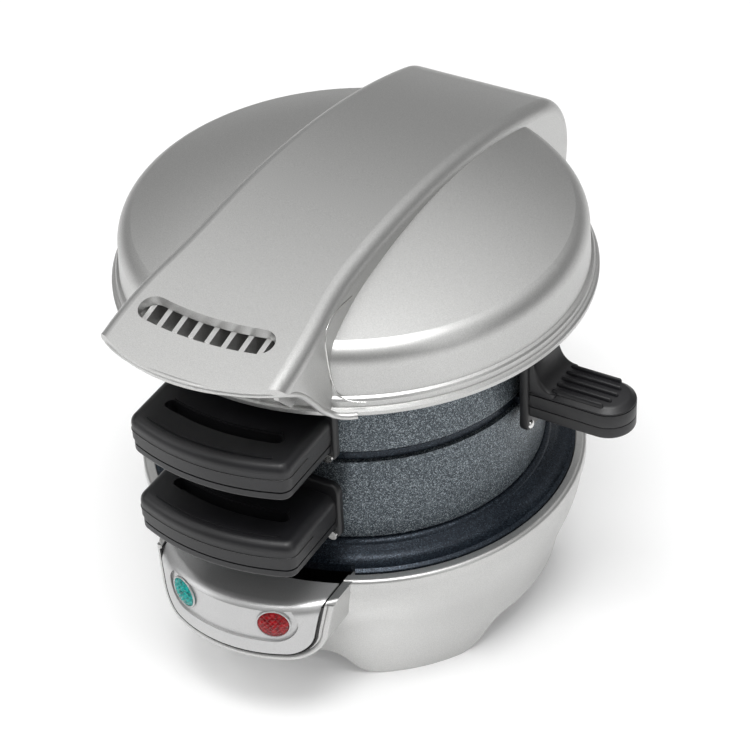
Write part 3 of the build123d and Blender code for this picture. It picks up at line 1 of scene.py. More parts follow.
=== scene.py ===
"""Looks of the breakfast sandwich maker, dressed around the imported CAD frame.

The scene is in metres. The sizes and places of the pieces are named in millimetres,
and add_piece and tube scale them.
"""

import json
import math

import bmesh
import bpy
from mathutils import Matrix, Vector


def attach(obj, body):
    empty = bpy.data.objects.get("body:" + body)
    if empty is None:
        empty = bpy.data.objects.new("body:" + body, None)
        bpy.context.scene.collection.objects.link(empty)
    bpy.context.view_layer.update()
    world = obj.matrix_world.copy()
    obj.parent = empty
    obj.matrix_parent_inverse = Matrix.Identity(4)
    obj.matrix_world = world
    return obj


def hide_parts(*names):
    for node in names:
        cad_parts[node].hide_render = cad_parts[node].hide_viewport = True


MM = 0.001

# Camera of the photograph: place, direction and lens for a square picture
CAMERA_PLACE = (0.30069, -0.51052, 0.53392)
CAMERA_AZIMUTH = 31.15
CAMERA_ELEVATION = 37.90
CAMERA_ROLL = -2.956
CAMERA_LENS = 124.44
CAMERA_SHIFT = (0.01853, -0.0023)

# Floor, in metres, and the light that it adds where the camera, gloss or glass sees it
FLOOR_SIZE = 6.0
FLOOR_GREY = (0.90, 0.92)
FLOOR_GLOW = 0.17

# Grey of the surroundings by the sine of the elevation: dimmest just over the horizon, bright overhead
SKY = [
    (0.0, 0.36),
    (0.06, 0.28),
    (0.14, 0.12),
    (0.42, 0.20),
    (0.60, 0.45),
    (0.74, 0.76),
    (0.88, 1.04),
    (1.0, 1.12),
]

# Lamps: name, place, height of the point that it faces, size and power, in metres and watts
LAMPS = (
    ("top_lamp", (0.18, -0.32, 1.22), 0.10, (0.6, 0.45), 7.7),
    ("left_lamp", (-1.0, -0.8, 0.7), 0.08, (0.7, 0.7), 3.0),
    ("right_lamp", (1.0, -0.35, 0.55), 0.08, (0.5, 0.7), 1.0),
)

# Colours of the materials, dark to light
BLACK_PLASTIC = ((0.007, 0.007, 0.008), (0.012, 0.012, 0.014))
RING_COAT = ((0.030, 0.038, 0.046), (0.13, 0.155, 0.175), (0.40, 0.45, 0.48))
PLATE_COAT = ((0.008, 0.012, 0.019), (0.016, 0.024, 0.036), (0.05, 0.07, 0.09))
GREEN_GLASS = ((0.0, 0.10, 0.095), (0.0, 0.33, 0.30))
RED_GLASS = ((0.11, 0.001, 0.003), (0.30, 0.004, 0.008))
LAMP_GLASS = ((0.8, 0.5, 0.3), (0.9, 0.7, 0.5))
CERAMIC = ((0.62, 0.57, 0.48), (0.72, 0.68, 0.58))

# Axis of the bowl and the rings, in millimetres as all that follows
AXIS_X = -9.25
AXIS_Y = 2.25

# Side handle: a tongue of two shells along the rings' middle line
SIDE_TIP_X = 77.9
SIDE_ROOT_X = 47.0
SIDE_HALF_WIDTH = 7.9
SIDE_LOW_Z = 78.0
SIDE_SPLIT_Z = 81.6
SIDE_SEAM_Z = 86.0
SIDE_TOP_Z = 88.0
SIDE_FOOT_EDGE = 0.7
SHELL_EDGE = 0.12
SHELL_GAP = 0.22
SEAM_HALF_HEIGHT = 0.1
SEAM_INSET = 0.45
# The bevel over the seam: (height over the seam, inset), then (depth under the top, inset)
BEVEL_LOW = ((0.12, 0.1), (0.3, 0.02), (0.6, 0.12))
BEVEL_HIGH = ((0.45, 1.35), (0.15, 1.75), (0.0, 2.3))

# Finger ribs on the tongue; the middle ones reach further out
RIB_START_X = 55.6
RIB_END_X = (71.2, 72.4, 73.0, 72.5, 71.2)
RIB_PITCH = 3.05
RIB_HALF_WIDTH = 0.62
RIB_HEIGHT = 1.0
RIB_SINK = 0.2
RIB_FLAT_SHARE = 0.04

# Guard between the tongue and the hot ring: an upright plate whose edge has (depth, inset) steps
GUARD_LOW_Z = 72.6
GUARD_TOP_Z = 103.4
GUARD_HALF_WIDTH = 8.9
GUARD_CORNER = 2.2
GUARD_STEPS = ((0.0, 0.3), (0.3, 0.0), (1.9, 0.0), (2.4, 0.25), (2.6, 0.8))

# Hollow sweep from the tongue up to the guard: a quarter of an ellipse, then (x, z) points.
# Its sides are drawn in towards a middle point, to round their edges.
SWEEP_BACK_X = 48.0
SWEEP_MIDDLE_X = 48.5
SWEEP_FOOT_X = 57.6
SWEEP_TOE = 0.4
SWEEP_REACH = 6.6
SWEEP_RISE = 9.5
SWEEP_LIFT = 0.02
SWEEP_SINK = 1.9
SWEEP_EDGE = 1.3
SWEEP_SIDE_GAP = 0.05
SWEEP_HEAD = ((50.6, 101.0), (50.2, 103.2))

# Rivets low on the guard; a head's section has (height, share of radius) steps
RIVET_RADIUS = 1.35
RIVET_OFFSET_Y = 6.9
RIVET_RISE = 2.0
RIVET_DOME = ((-0.3, 1.0), (0.15, 1.0), (0.4, 0.86), (0.62, 0.6), (0.72, 0.28))

# Indicator panel: an arched front that narrows downwards
PANEL_RADIUS = 40.0
PANEL_FRONT_Y = -79.05
PANEL_HALF_WIDTH = 26.3
PANEL_TAPER = 0.165
PANEL_TOP_Z = 45.2
PANEL_LOW_Z = 28.0

# The panel's two lenses; the facets reach full height FACET_FADE times sooner than the centre
LENS_OFFSET = 14.8
LENS_Z = 39.0
LENS_RADIUS = 4.55
LENS_DEPTH = 3.6
LENS_SINK = 0.55
LENS_RISE = 1.35
FACET_PITCH = 1.15
FACET_DEPTH = 0.30
FACET_FADE = 8.0
BEZEL_GAP = 0.16
BEZEL_SINK = 0.48
BEZEL_HALF_WIDTH = 0.26
BEZEL_HALF_HEIGHT = 0.34

# Beads round the panel: (setback from its front, distance outside it, corner radius)
RIM_PATH = (1.35, 1.75, 8.6)
RIM_BEAD = 1.15
LINE_PATH = (0.45, 0.4, 7.3)
LINE_BEAD = 0.42
# A bead's side has points at these depths under the panel's top, and one this far over its corner
BEAD_SIDE_DEPTHS = (0.8, 4.0)
BEAD_HIP_RISE = 2.0

# Half of the cover's rolled lip: along the grip's front, round its corner, down the skirt
# and out along its foot, with x from the middle of the appliance
LIP_BEAD = 0.95
GRIP_LIP = (
    (0.0, -89.0, 128.95), (6.05, -88.7, 128.95), (12.05, -87.7, 128.95), (18.05, -86.0, 128.95),
    (22.05, -84.4, 128.95), (24.65, -82.9, 128.9), (26.45, -81.4, 128.6), (27.35, -79.8, 127.8),
    (27.75, -78.0, 126.6), (27.85, -76.0, 125.1), (27.85, -74.0, 123.2), (27.85, -72.0, 121.0),
    (27.85, -70.0, 118.6), (27.85, -68.0, 116.1), (27.85, -66.0, 113.5), (27.95, -64.0, 111.1),
    (28.25, -62.0, 109.1), (29.15, -60.9, 108.0), (30.85, -60.0, 107.5), (32.85, -59.0, 107.4),
    (34.65, -57.9, 107.6),
)

# Painted highlight beside the dome: a fine bright bead where the skirt meets the dome, from the back down
# to the flange, standing in for the light caught along that edge
SKIRT_HIGHLIGHT_BEAD = 0.2
SKIRT_HIGHLIGHT_LINE = (
    (25.05, -41.8, 132.7), (25.15, -43.6, 132.9), (25.55, -48.9, 134.0), (26.05, -54.5, 134.3),
    (26.75, -58.3, 133.0), (27.15, -59.8, 129.6), (27.25, -59.3, 123.7), (27.35, -58.6, 118.8),
    (27.95, -58.0, 114.8), (28.65, -57.9, 113.0), (29.95, -57.7, 111.7), (31.65, -57.5, 111.2),
    (33.55, -56.7, 110.8), (35.85, -55.4, 110.6),
)

# Painted shade in the second seam of the ring handles: a dark bead drawn in front of the rings, standing
# in for the shade in the gap between the shells: (ring, height)
HANDLE_SEAM_SHADES = (("lower", 69.4), ("upper", 96.9))
HANDLE_SEAM_SHADE_BEAD = 0.18
HANDLE_SEAM_BACK_Y = -58.5


# ---------------------------------------------------------------- node helpers

def new_material(name):
    """An empty node material with its Principled shader and node tree."""
    material = bpy.data.materials.new(name)
    material.use_nodes = True
    tree = material.node_tree
    shader = tree.nodes["Principled BSDF"]
    return material, tree, shader


def add_node(tree, kind, **settings):
    """A node of that kind; settings are its inputs by name, or else its properties."""
    node = tree.nodes.new(kind)
    for key, value in settings.items():
        if key in node.inputs:
            node.inputs[key].default_value = value
        else:
            setattr(node, key, value)
    return node


def object_noise(tree, scale, detail, roughness=0.5):
    """Noise in the object's own coordinates; scale is in cycles per metre."""
    place = add_node(tree, "ShaderNodeTexCoord")
    noise = add_node(tree, "ShaderNodeTexNoise", Scale=scale, Detail=detail, Roughness=roughness)
    tree.links.new(place.outputs["Object"], noise.inputs["Vector"])
    return noise.outputs["Fac"]


def ramp(tree, value, stops):
    """A colour ramp over value; stops are (position, grey or colour)."""
    node = add_node(tree, "ShaderNodeValToRGB")
    elements = node.color_ramp.elements
    while len(elements) < len(stops):
        elements.new(0.5)
    for element, (position, colour) in zip(elements, stops):
        if isinstance(colour, float):
            colour = (colour, colour, colour)
        element.position = position
        element.color = (*colour, 1.0)
    tree.links.new(value, node.inputs["Fac"])
    return node.outputs["Color"]


def zip_stops(positions, colours):
    """Stops of a ramp from positions and colours of the same count."""
    return list(zip(positions, colours))


def bump(tree, shader, height, distance, strength):
    """Adds a bump of that height map to the shader; distance is in metres."""
    node = add_node(tree, "ShaderNodeBump", Strength=strength, Distance=distance)
    tree.links.new(height, node.inputs["Height"])
    tree.links.new(node.outputs["Normal"], shader.inputs["Normal"])


def tinted(level, blue):
    """A grey of that level, with its blue scaled to warm or cool it."""
    return (level, level, level * blue)


# ---------------------------------------------------------------- materials

def silver_paint(name, low, high, roughness):
    """Satin silver enamel with fine metal flake."""
    material, tree, shader = new_material(name)
    flake = object_noise(tree, scale=4200.0, detail=2.0)
    colour = ramp(tree, flake, [(0.30, tinted(low, 0.985)), (0.70, tinted(high, 0.985))])
    tree.links.new(colour, shader.inputs["Base Color"])
    polish = object_noise(tree, scale=2600.0, detail=2.0)
    gloss = ramp(tree, polish, [(0.3, roughness - 0.04), (0.7, roughness + 0.04)])
    tree.links.new(gloss, shader.inputs["Roughness"])
    shader.inputs["Metallic"].default_value = 0.85
    bump(tree, shader, flake, distance=0.00001, strength=0.5)
    return material


def panel_silver():
    """Smooth silver moulding of the indicator panel."""
    material, tree, shader = new_material("panel_silver")
    flake = object_noise(tree, scale=6000.0, detail=2.0)
    colour = ramp(tree, flake, [(0.3, 0.50), (0.7, 0.62)])
    tree.links.new(colour, shader.inputs["Base Color"])
    shader.inputs["Metallic"].default_value = 0.6
    shader.inputs["Roughness"].default_value = 0.32
    bump(tree, shader, flake, distance=0.000006, strength=0.3)
    return material


def black_plastic():
    """Black moulded plastic with a fine satin grain."""
    material, tree, shader = new_material("black_plastic")
    grain = object_noise(tree, scale=3200.0, detail=4.0, roughness=0.6)
    cloud = object_noise(tree, scale=60.0, detail=3.0)
    colour = ramp(tree, cloud, zip_stops((0.3, 0.7), BLACK_PLASTIC))
    tree.links.new(colour, shader.inputs["Base Color"])
    gloss = ramp(tree, grain, [(0.3, 0.34), (0.7, 0.48)])
    tree.links.new(gloss, shader.inputs["Roughness"])
    bump(tree, shader, grain, distance=0.00003, strength=0.5)
    return material


def soft_black(name, low, high, roughness):
    """Black rubber of the gasket, the inlet and the feet; the gasket rubber also colours the painted seam
    shade of the ring handles.
    """
    material, tree, shader = new_material(name)
    grain = object_noise(tree, scale=1500.0, detail=3.0)
    colour = ramp(tree, grain, [(0.3, low), (0.7, tinted(high, 1.05))])
    tree.links.new(colour, shader.inputs["Base Color"])
    shader.inputs["Roughness"].default_value = roughness
    bump(tree, shader, grain, distance=0.00002, strength=0.4)
    return material


def nonstick(name, coat, roughness):
    """Non-stick coating, sparkling with very fine flakes."""
    material, tree, shader = new_material(name)
    place = add_node(tree, "ShaderNodeTexCoord")
    cells = add_node(tree, "ShaderNodeTexVoronoi", Scale=4200.0)
    tree.links.new(place.outputs["Object"], cells.inputs["Vector"])
    chance = add_node(tree, "ShaderNodeSeparateColor")
    tree.links.new(cells.outputs["Color"], chance.inputs["Color"])
    colour = ramp(tree, chance.outputs["Red"], zip_stops((0.15, 0.75, 1.0), coat))
    tree.links.new(colour, shader.inputs["Base Color"])
    gloss = ramp(tree, chance.outputs["Green"], [(0.0, roughness - 0.12), (1.0, roughness + 0.1)])
    tree.links.new(gloss, shader.inputs["Roughness"])
    shader.inputs["Metallic"].default_value = 0.55
    bump(tree, shader, chance.outputs["Blue"], distance=0.00003, strength=0.6)
    return material


def jewel(name, glass, glow):
    """Cut coloured lens, faintly lit from behind; the facets are in its geometry."""
    material, tree, shader = new_material(name)
    cloud = object_noise(tree, scale=900.0, detail=2.0)
    colour = ramp(tree, cloud, zip_stops((0.35, 0.65), glass))
    tree.links.new(colour, shader.inputs["Base Color"])
    tree.links.new(colour, shader.inputs["Emission Color"])
    shader.inputs["Emission Strength"].default_value = glow
    shader.inputs["Roughness"].default_value = 0.14
    shader.inputs["Specular IOR Level"].default_value = 0.35
    return material


def metal(name, low, high, roughness):
    """Plain or bright plated steel, with fine uneven polish."""
    material, tree, shader = new_material(name)
    cloud = object_noise(tree, scale=500.0, detail=4.0)
    colour = ramp(tree, cloud, [(0.3, tinted(low, 0.98)), (0.7, tinted(high, 0.98))])
    tree.links.new(colour, shader.inputs["Base Color"])
    shader.inputs["Metallic"].default_value = 1.0
    gloss = ramp(tree, cloud, [(0.3, roughness), (0.7, roughness + 0.08)])
    tree.links.new(gloss, shader.inputs["Roughness"])
    bump(tree, shader, cloud, distance=0.00001, strength=0.3)
    return material


def ceramic():
    """Pale heat-proof body of the terminal block and the thermostat."""
    material, tree, shader = new_material("ceramic_body")
    cloud = object_noise(tree, scale=900.0, detail=3.0)
    colour = ramp(tree, cloud, zip_stops((0.3, 0.7), CERAMIC))
    tree.links.new(colour, shader.inputs["Base Color"])
    shader.inputs["Roughness"].default_value = 0.45
    bump(tree, shader, cloud, distance=0.00002, strength=0.4)
    return material


def make_materials():
    """One material for each slot of the record."""
    return {
        "silver_shell": silver_paint("silver_paint", low=0.47, high=0.61, roughness=0.39),
        "silver_plastic": silver_paint("silver_plastic", low=0.50, high=0.63, roughness=0.38),
        "panel_silver": panel_silver(),
        "black_plastic": black_plastic(),
        "gasket_rubber": soft_black("gasket_rubber", low=0.006, high=0.012, roughness=0.22),
        "foot_rubber": soft_black("foot_rubber", low=0.02, high=0.035, roughness=0.7),
        "nonstick_ring": nonstick("nonstick_ring", RING_COAT, roughness=0.42),
        "nonstick_plate": nonstick("nonstick_plate", PLATE_COAT, roughness=0.36),
        "green_jewel": jewel("green_jewel", GREEN_GLASS, glow=0.35),
        "red_jewel": jewel("red_jewel", RED_GLASS, glow=0.30),
        "lamp_glass": jewel("lamp_glass", LAMP_GLASS, glow=0.1),
        "bright_steel": metal("bright_steel", low=0.62, high=0.72, roughness=0.18),
        "plain_steel": metal("plain_steel", low=0.45, high=0.56, roughness=0.34),
        "element_steel": metal("element_steel", low=0.16, high=0.26, roughness=0.45),
        "ceramic_body": ceramic(),
    }


def dress_nodes(frame, materials):
    """Gives each CAD node the material of its slot in the record."""
    for part in frame["record"]["subparts"]:
        node = frame["nodes"][part["node"]]
        node.data.materials.clear()
        node.data.materials.append(materials[part["material_slot"]])


# ---------------------------------------------------------------- shape helpers

def arc(x, y, radius, start, end, steps):
    """Points of an arc about (x, y), from one angle to another in degrees."""
    turns = [math.radians(start + (end - start) * k / steps) for k in range(steps + 1)]
    return [(x + radius * math.cos(turn), y + radius * math.sin(turn)) for turn in turns]


def circle(radius, count):
    """Points of a whole circle about the origin."""
    return arc(0.0, 0.0, radius, 0.0, 360.0, count)[:-1]


def quarter_turns(steps):
    """Angles from 0 to 90 degrees, in radians."""
    return [math.pi / 2 * k / steps for k in range(steps + 1)]


def rounded_levels(low, high, edge_low, edge_high, steps):
    """(height, inset) levels of a block with rounded lower and upper edges."""
    turns = quarter_turns(steps)
    foot = [(low + edge_low * (1 - math.cos(t)), edge_low * (1 - math.sin(t))) for t in turns]
    head = [(high - edge_high * (1 - math.cos(t)), edge_high * (1 - math.sin(t))) for t in turns]
    return foot + head[::-1]


def shrunk_towards(middle, point, inset):
    """The point moved towards the middle by the inset, at most all the way."""
    reach = (point - middle).length
    return middle + (point - middle) * max(0.0, 1 - inset / reach)


def join_rings(rings, round_trip=False):
    """A bmesh with faces between neighbouring rings of points.

    Its ends are capped, or joined to each other on a round trip.
    """
    bm = bmesh.new()
    loops = [[bm.verts.new(point) for point in ring] for ring in rings]
    following = loops[1:] + loops[:1] if round_trip else loops[1:]
    count = len(loops[0])
    for low, high in zip(loops, following):
        for k in range(count):
            after = (k + 1) % count
            bm.faces.new((low[k], low[after], high[after], high[k]))
    if not round_trip:
        bm.faces.new(reversed(loops[0]))
        bm.faces.new(loops[-1])
    return bm


def place_piece(name, data, body, slot, materials):
    """An object for that mesh or curve; it rides on a body and wears its slot's material."""
    data.materials.append(materials[slot])
    piece = bpy.data.objects.new(name, data)
    bpy.context.scene.collection.objects.link(piece)
    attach(piece, body)
    return piece


def add_piece(name, bm, body, slot, materials, smooth=True, crease=None):
    """A mesh piece from a bmesh in millimetres; edges sharper than the crease angle stay sharp."""
    bmesh.ops.recalc_face_normals(bm, faces=bm.faces)
    mesh = bpy.data.meshes.new(name)
    bm.to_mesh(mesh)
    bm.free()
    mesh.transform(Matrix.Scale(MM, 4))
    for face in mesh.polygons:
        face.use_smooth = smooth
    if crease is not None:
        mesh.set_sharp_from_angle(angle=math.radians(crease))
    return place_piece(name, mesh, body, slot, materials)


def tube(name, points, bead, body, slot, materials, resolution=3, capped=True):
    """A round bead of that radius along a line of points, all in millimetres."""
    curve = bpy.data.curves.new(name, "CURVE")
    curve.dimensions = "3D"
    curve.bevel_depth = bead * MM
    curve.bevel_resolution = resolution
    curve.use_fill_caps = capped
    spline = curve.splines.new("POLY")
    spline.points.add(len(points) - 1)
    for target, point in zip(spline.points, points):
        target.co = (*(Vector(point) * MM), 1.0)
    spline.use_smooth = True
    place_piece(name, curve, body, slot, materials)


# ---------------------------------------------------------------- side handle

def side_piece(name, rings, materials, crease):
    """One black piece of the side handle, sharp at edges over the crease angle in degrees."""
    return add_piece(name, join_rings(rings), "plate_assembly", "black_plastic", materials, crease=crease)


def tongue(name, levels, replaced, materials):
    """A shell of the tongue from (height, inset) levels, lowest first: straight sides, round tip."""
    rings = []
    for z, inset in levels:
        half = SIDE_HALF_WIDTH - inset
        root = SIDE_ROOT_X + inset
        tip = arc(SIDE_TIP_X - SIDE_HALF_WIDTH, AXIS_Y, half, -90, 90, 20)
        outline = [(root, AXIS_Y - half)] + tip + [(root, AXIS_Y + half)]
        rings.append([(x, y, z) for x, y in outline])
    piece = side_piece(name, rings, materials, crease=28.0)
    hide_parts(replaced)


def side_handle(materials):
    """Handle of the cooking plate: two shells with seams, ribs, and the guard with its rivets."""
    lower = rounded_levels(SIDE_LOW_Z, SIDE_SPLIT_Z, SIDE_FOOT_EDGE, SHELL_EDGE, 5)
    tongue("side_handle_lower", lower, "plate_handle_bottom", materials)
    waist_top = SIDE_SEAM_Z - SHELL_EDGE
    upper = rounded_levels(SIDE_SPLIT_Z + SHELL_GAP, waist_top, SHELL_EDGE, SHELL_EDGE, 3)
    upper += [(SIDE_SEAM_Z + rise, SEAM_INSET) for rise in (-SEAM_HALF_HEIGHT, SEAM_HALF_HEIGHT)]
    upper += [(SIDE_SEAM_Z + rise, inset) for rise, inset in BEVEL_LOW]
    upper += [(SIDE_TOP_Z - depth, inset) for depth, inset in BEVEL_HIGH]
    tongue("side_handle_upper", upper, "plate_handle_top", materials)
    for number, end in enumerate(RIB_END_X, start=1):
        middle = AXIS_Y + (number - 3) * RIB_PITCH
        finger_rib(f"side_handle_rib_{number}", end, middle, materials)
    guard_sweep(materials)
    guard_plate(materials)
    for number, side in enumerate((-1, 1), start=1):
        guard_rivet(f"side_guard_rivet_{number}", AXIS_Y + side * RIVET_OFFSET_Y, materials)


def finger_rib(name, end, middle, materials):
    """One raised rib along the tongue, half round with round ends."""
    rings = []
    for turn in quarter_turns(4):
        size = RIB_HALF_WIDTH * (RIB_FLAT_SHARE + (1 - RIB_FLAT_SHARE) * math.cos(turn))
        z = SIDE_TOP_Z - RIB_SINK + (RIB_HEIGHT + RIB_SINK) * math.sin(turn)
        outline = arc(end - RIB_HALF_WIDTH, middle, size, -90, 90, 12)
        outline += arc(RIB_START_X + RIB_HALF_WIDTH, middle, size, 90, 270, 12)
        rings.append([(x, y, z) for x, y in outline])
    side_piece(name, rings, materials, crease=40.0)


def guard_sweep(materials):
    """Hollow curve that rises from the tongue to the guard, with rounded side edges."""
    foot_z = SIDE_TOP_Z - SWEEP_SINK
    profile = [(SWEEP_BACK_X, foot_z), (SWEEP_FOOT_X - SWEEP_TOE, foot_z)]
    for turn in quarter_turns(14):
        x = SWEEP_FOOT_X - SWEEP_REACH * math.sin(turn)
        profile.append((x, SIDE_TOP_Z + SWEEP_LIFT + SWEEP_RISE * (1 - math.cos(turn))))
    profile += [*SWEEP_HEAD, (SWEEP_BACK_X, SWEEP_HEAD[-1][1])]
    middle = Vector((SWEEP_MIDDLE_X, SIDE_TOP_Z))
    half = SIDE_HALF_WIDTH - SWEEP_SIDE_GAP
    turns = quarter_turns(5)
    stations = [(-1, turn) for turn in turns] + [(1, turn) for turn in reversed(turns)]
    rings = []
    for side, turn in stations:
        y = AXIS_Y + side * (half - SWEEP_EDGE * (1 - math.cos(turn)))
        inset = SWEEP_EDGE * (1 - math.sin(turn))
        ring = [shrunk_towards(middle, Vector(point), inset) for point in profile]
        rings.append([(x, y, z) for x, z in ring])
    side_piece("side_guard_sweep", rings, materials, crease=35.0)


def guard_plate(materials):
    """Upright plate of the guard, next to the hot ring, with rounded corners."""
    right = GUARD_HALF_WIDTH - GUARD_CORNER
    high = GUARD_TOP_Z - GUARD_CORNER
    low = GUARD_LOW_Z + GUARD_CORNER
    outline = []
    for y, z, start in ((right, low, -90), (right, high, 0), (-right, high, 90), (-right, low, 180)):
        outline += arc(AXIS_Y + y, z, GUARD_CORNER, start, start + 90, 6)
    middle = Vector((AXIS_Y, (GUARD_LOW_Z + GUARD_TOP_Z) / 2))
    rings = []
    for depth, inset in GUARD_STEPS:
        ring = [shrunk_towards(middle, Vector(point), inset) for point in outline]
        rings.append([(SIDE_ROOT_X + depth, y, z) for y, z in ring])
    side_piece("side_guard_plate", rings, materials, crease=40.0)


def guard_rivet(name, y, materials):
    """A bright domed rivet head on the guard's outer face, low down."""
    face = SIDE_ROOT_X + GUARD_STEPS[-1][0]
    z = GUARD_LOW_Z + RIVET_RISE
    rings = [
        [(face + height, y + across, z + up) for across, up in circle(RIVET_RADIUS * share, 20)]
        for height, share in RIVET_DOME
    ]
    add_piece(name, join_rings(rings), "plate_assembly", "bright_steel", materials, crease=50.0)


# ---------------------------------------------------------------- indicator panel

def lens_frame(side):
    """Placement of one lens: its axis points out of the curved panel."""
    turn = math.asin(LENS_OFFSET / PANEL_RADIUS)
    outwards = Vector((side * math.sin(turn), -math.cos(turn), 0.0))
    centre = Vector((AXIS_X, PANEL_FRONT_Y + PANEL_RADIUS, LENS_Z))
    right = Vector((-outwards.y, outwards.x, 0.0))
    up = Vector((0.0, 0.0, 1.0))
    turned = Matrix((right, up, outwards)).transposed().to_4x4()
    return Matrix.Translation(centre + outwards * PANEL_RADIUS) @ turned


def pyramid_ridge(distance):
    """0 halfway between two cuts of the facet grid, 1 on a cut."""
    return abs((distance / FACET_PITCH) % 1.0 - 0.5) * 2.0


def facet_height(x, y):
    """Height of the cut facets: small pyramids on a crossed grid."""
    along = (x + y) / math.sqrt(2)
    across = (x - y) / math.sqrt(2)
    return FACET_DEPTH * (1.0 - max(pyramid_ridge(along), pyramid_ridge(across)))


def lens(name, side, slot, node, materials):
    """A jewel-cut lens: a low dome covered in small pyramids, in its bezel."""
    placement = lens_frame(side)
    rows = 22
    columns = 72
    rings = [[placement @ Vector((x, y, -LENS_DEPTH)) for x, y in circle(LENS_RADIUS, columns)]]
    for row in range(rows):
        share = 1 - row / rows
        dome = LENS_RISE * (1 - share * share) - LENS_SINK
        fade = min(1.0, (1 - share) * FACET_FADE)
        outline = circle(LENS_RADIUS * share, columns)
        rings.append([placement @ Vector((x, y, dome + facet_height(x, y) * fade)) for x, y in outline])
    piece = add_piece(name, join_rings(rings), "base", slot, materials, smooth=False)
    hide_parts(node)
    bezel(f"{name}_bezel", placement, materials)


def bezel(name, placement, materials):
    """A thin bright ring of oval section round a lens."""
    rings = []
    for across, up in circle(1.0, 12):
        reach = LENS_RADIUS + BEZEL_GAP + BEZEL_HALF_WIDTH * across
        z = BEZEL_HALF_HEIGHT * up - BEZEL_SINK
        rings.append([placement @ Vector((x, y, z)) for x, y in circle(reach, 48)])
    add_piece(name, join_rings(rings, round_trip=True), "base", "panel_silver", materials)


def panel_path(setback, outside, corner):
    """Open U-shaped line round the panel on its arched front: left side, foot, right side."""
    def half_width(height):
        return PANEL_HALF_WIDTH - PANEL_TAPER * (PANEL_TOP_Z - height) + outside

    low = PANEL_LOW_Z - outside
    hip = low + corner
    reach = half_width(hip) - corner
    heights = [PANEL_TOP_Z - depth for depth in BEAD_SIDE_DEPTHS] + [hip + BEAD_HIP_RISE]
    right = [(half_width(z), z) for z in heights] + arc(reach, hip, corner, 0, -90, 8)
    right += [(reach * share, low) for share in (0.8, 0.6, 0.4, 0.2)]
    line = [(-x, z) for x, z in right] + [(0.0, low)] + right[::-1]
    arch_y = PANEL_FRONT_Y + setback + PANEL_RADIUS
    return [(AXIS_X + x, arch_y - math.sqrt(PANEL_RADIUS**2 - x * x), z) for x, z in line]


def panel_edges(materials):
    """Rounded rim of the nose round the panel, and the dark line inside it."""
    rim = panel_path(*RIM_PATH)
    tube("panel_rim", rim, RIM_BEAD, "base", "silver_plastic", materials, resolution=4)
    line = panel_path(*LINE_PATH)
    tube("panel_line", line, LINE_BEAD, "base", "gasket_rubber", materials)


# ---------------------------------------------------------------- cover and ring handles

def on_side(line, side):
    """A line drawn from the middle of the appliance, set on its right (1) or left (-1) side."""
    return [(AXIS_X + side * x, y, z) for x, y, z in line]


def cover_edges(materials):
    """Rolled lip round the grip and down both skirts, and painted highlights beside the dome: fine bright
    beads where the skirts meet it.
    """
    lip = on_side(GRIP_LIP, -1)[:0:-1] + on_side(GRIP_LIP, 1)
    tube("grip_lip", lip, LIP_BEAD, "cover_assembly", "silver_plastic", materials, resolution=5)
    # Painted highlight: a bright steel bead along each skirt's edge on the dome.
    for name, side in (("right_skirt_highlight", 1), ("left_skirt_highlight", -1)):
        edge = on_side(SKIRT_HIGHLIGHT_LINE, side)
        tube(name, edge, SKIRT_HIGHLIGHT_BEAD, "cover_assembly", "bright_steel", materials)


def outline_at(node, height, back_y):
    """Longest chain of points where a CAD node is cut at a height, in front of back_y; millimetres."""
    bm = bmesh.new()
    bm.from_mesh(node.data)
    bmesh.ops.remove_doubles(bm, verts=bm.verts, dist=1e-6)
    everything = bm.verts[:] + bm.edges[:] + bm.faces[:]
    cut = bmesh.ops.bisect_plane(bm, geom=everything, plane_co=(0, 0, height * MM), plane_no=(0, 0, 1))
    links = {}
    for part in cut["geom_cut"]:
        if isinstance(part, bmesh.types.BMEdge) and max(v.co.y for v in part.verts) < back_y * MM:
            a, b = part.verts
            links.setdefault(a, []).append(b)
            links.setdefault(b, []).append(a)
    chains = []
    left = set(links)
    while left:
        ends = [v for v in left if sum(w in left for w in links[v]) == 1]
        onward = [min(ends or left, key=lambda v: (round(v.co.x, 6), round(v.co.y, 6)))]
        chain = []
        while onward:
            chain.append(onward[0])
            left.discard(onward[0])
            onward = [v for v in links[chain[-1]] if v in left]
        chains.append([v.co / MM for v in chain])
    bm.free()
    return max(chains, key=line_length)


def line_length(points):
    """Length of a line of points."""
    return sum((q - p).length for p, q in zip(points, points[1:]))


def handle_seams(frame, materials):
    """Painted shade: a fine dark line round each ring handle, standing in for the shade in the gap where
    its two shells meet.
    """
    for ring, height in HANDLE_SEAM_SHADES:
        line = outline_at(frame["nodes"][f"{ring}_handle_top"], height, HANDLE_SEAM_BACK_Y)
        tube(f"{ring}_handle_seam_shade", line, HANDLE_SEAM_SHADE_BEAD, f"{ring}_ring_assembly", "gasket_rubber",
             materials, resolution=2, capped=False)


# ---------------------------------------------------------------- studio

def make_camera():
    """The photograph's camera: its place, turned by azimuth, elevation and roll."""
    azimuth = math.radians(CAMERA_AZIMUTH)
    elevation = math.radians(CAMERA_ELEVATION)
    roll = math.radians(CAMERA_ROLL)
    back = Vector((
        math.sin(azimuth) * math.cos(elevation),
        -math.cos(azimuth) * math.cos(elevation),
        math.sin(elevation),
    ))
    right = Vector((math.cos(azimuth), math.sin(azimuth), 0.0))
    up = back.cross(right)
    rolled_right = math.cos(roll) * right + math.sin(roll) * up
    rolled_up = math.cos(roll) * up - math.sin(roll) * right
    turn = Matrix((rolled_right, rolled_up, back)).transposed().to_4x4()
    data = bpy.data.cameras.new("camera")
    data.lens = CAMERA_LENS
    data.shift_x, data.shift_y = CAMERA_SHIFT
    camera = bpy.data.objects.new("camera", data)
    camera.matrix_world = Matrix.Translation(CAMERA_PLACE) @ turn
    bpy.context.scene.collection.objects.link(camera)
    bpy.context.scene.camera = camera


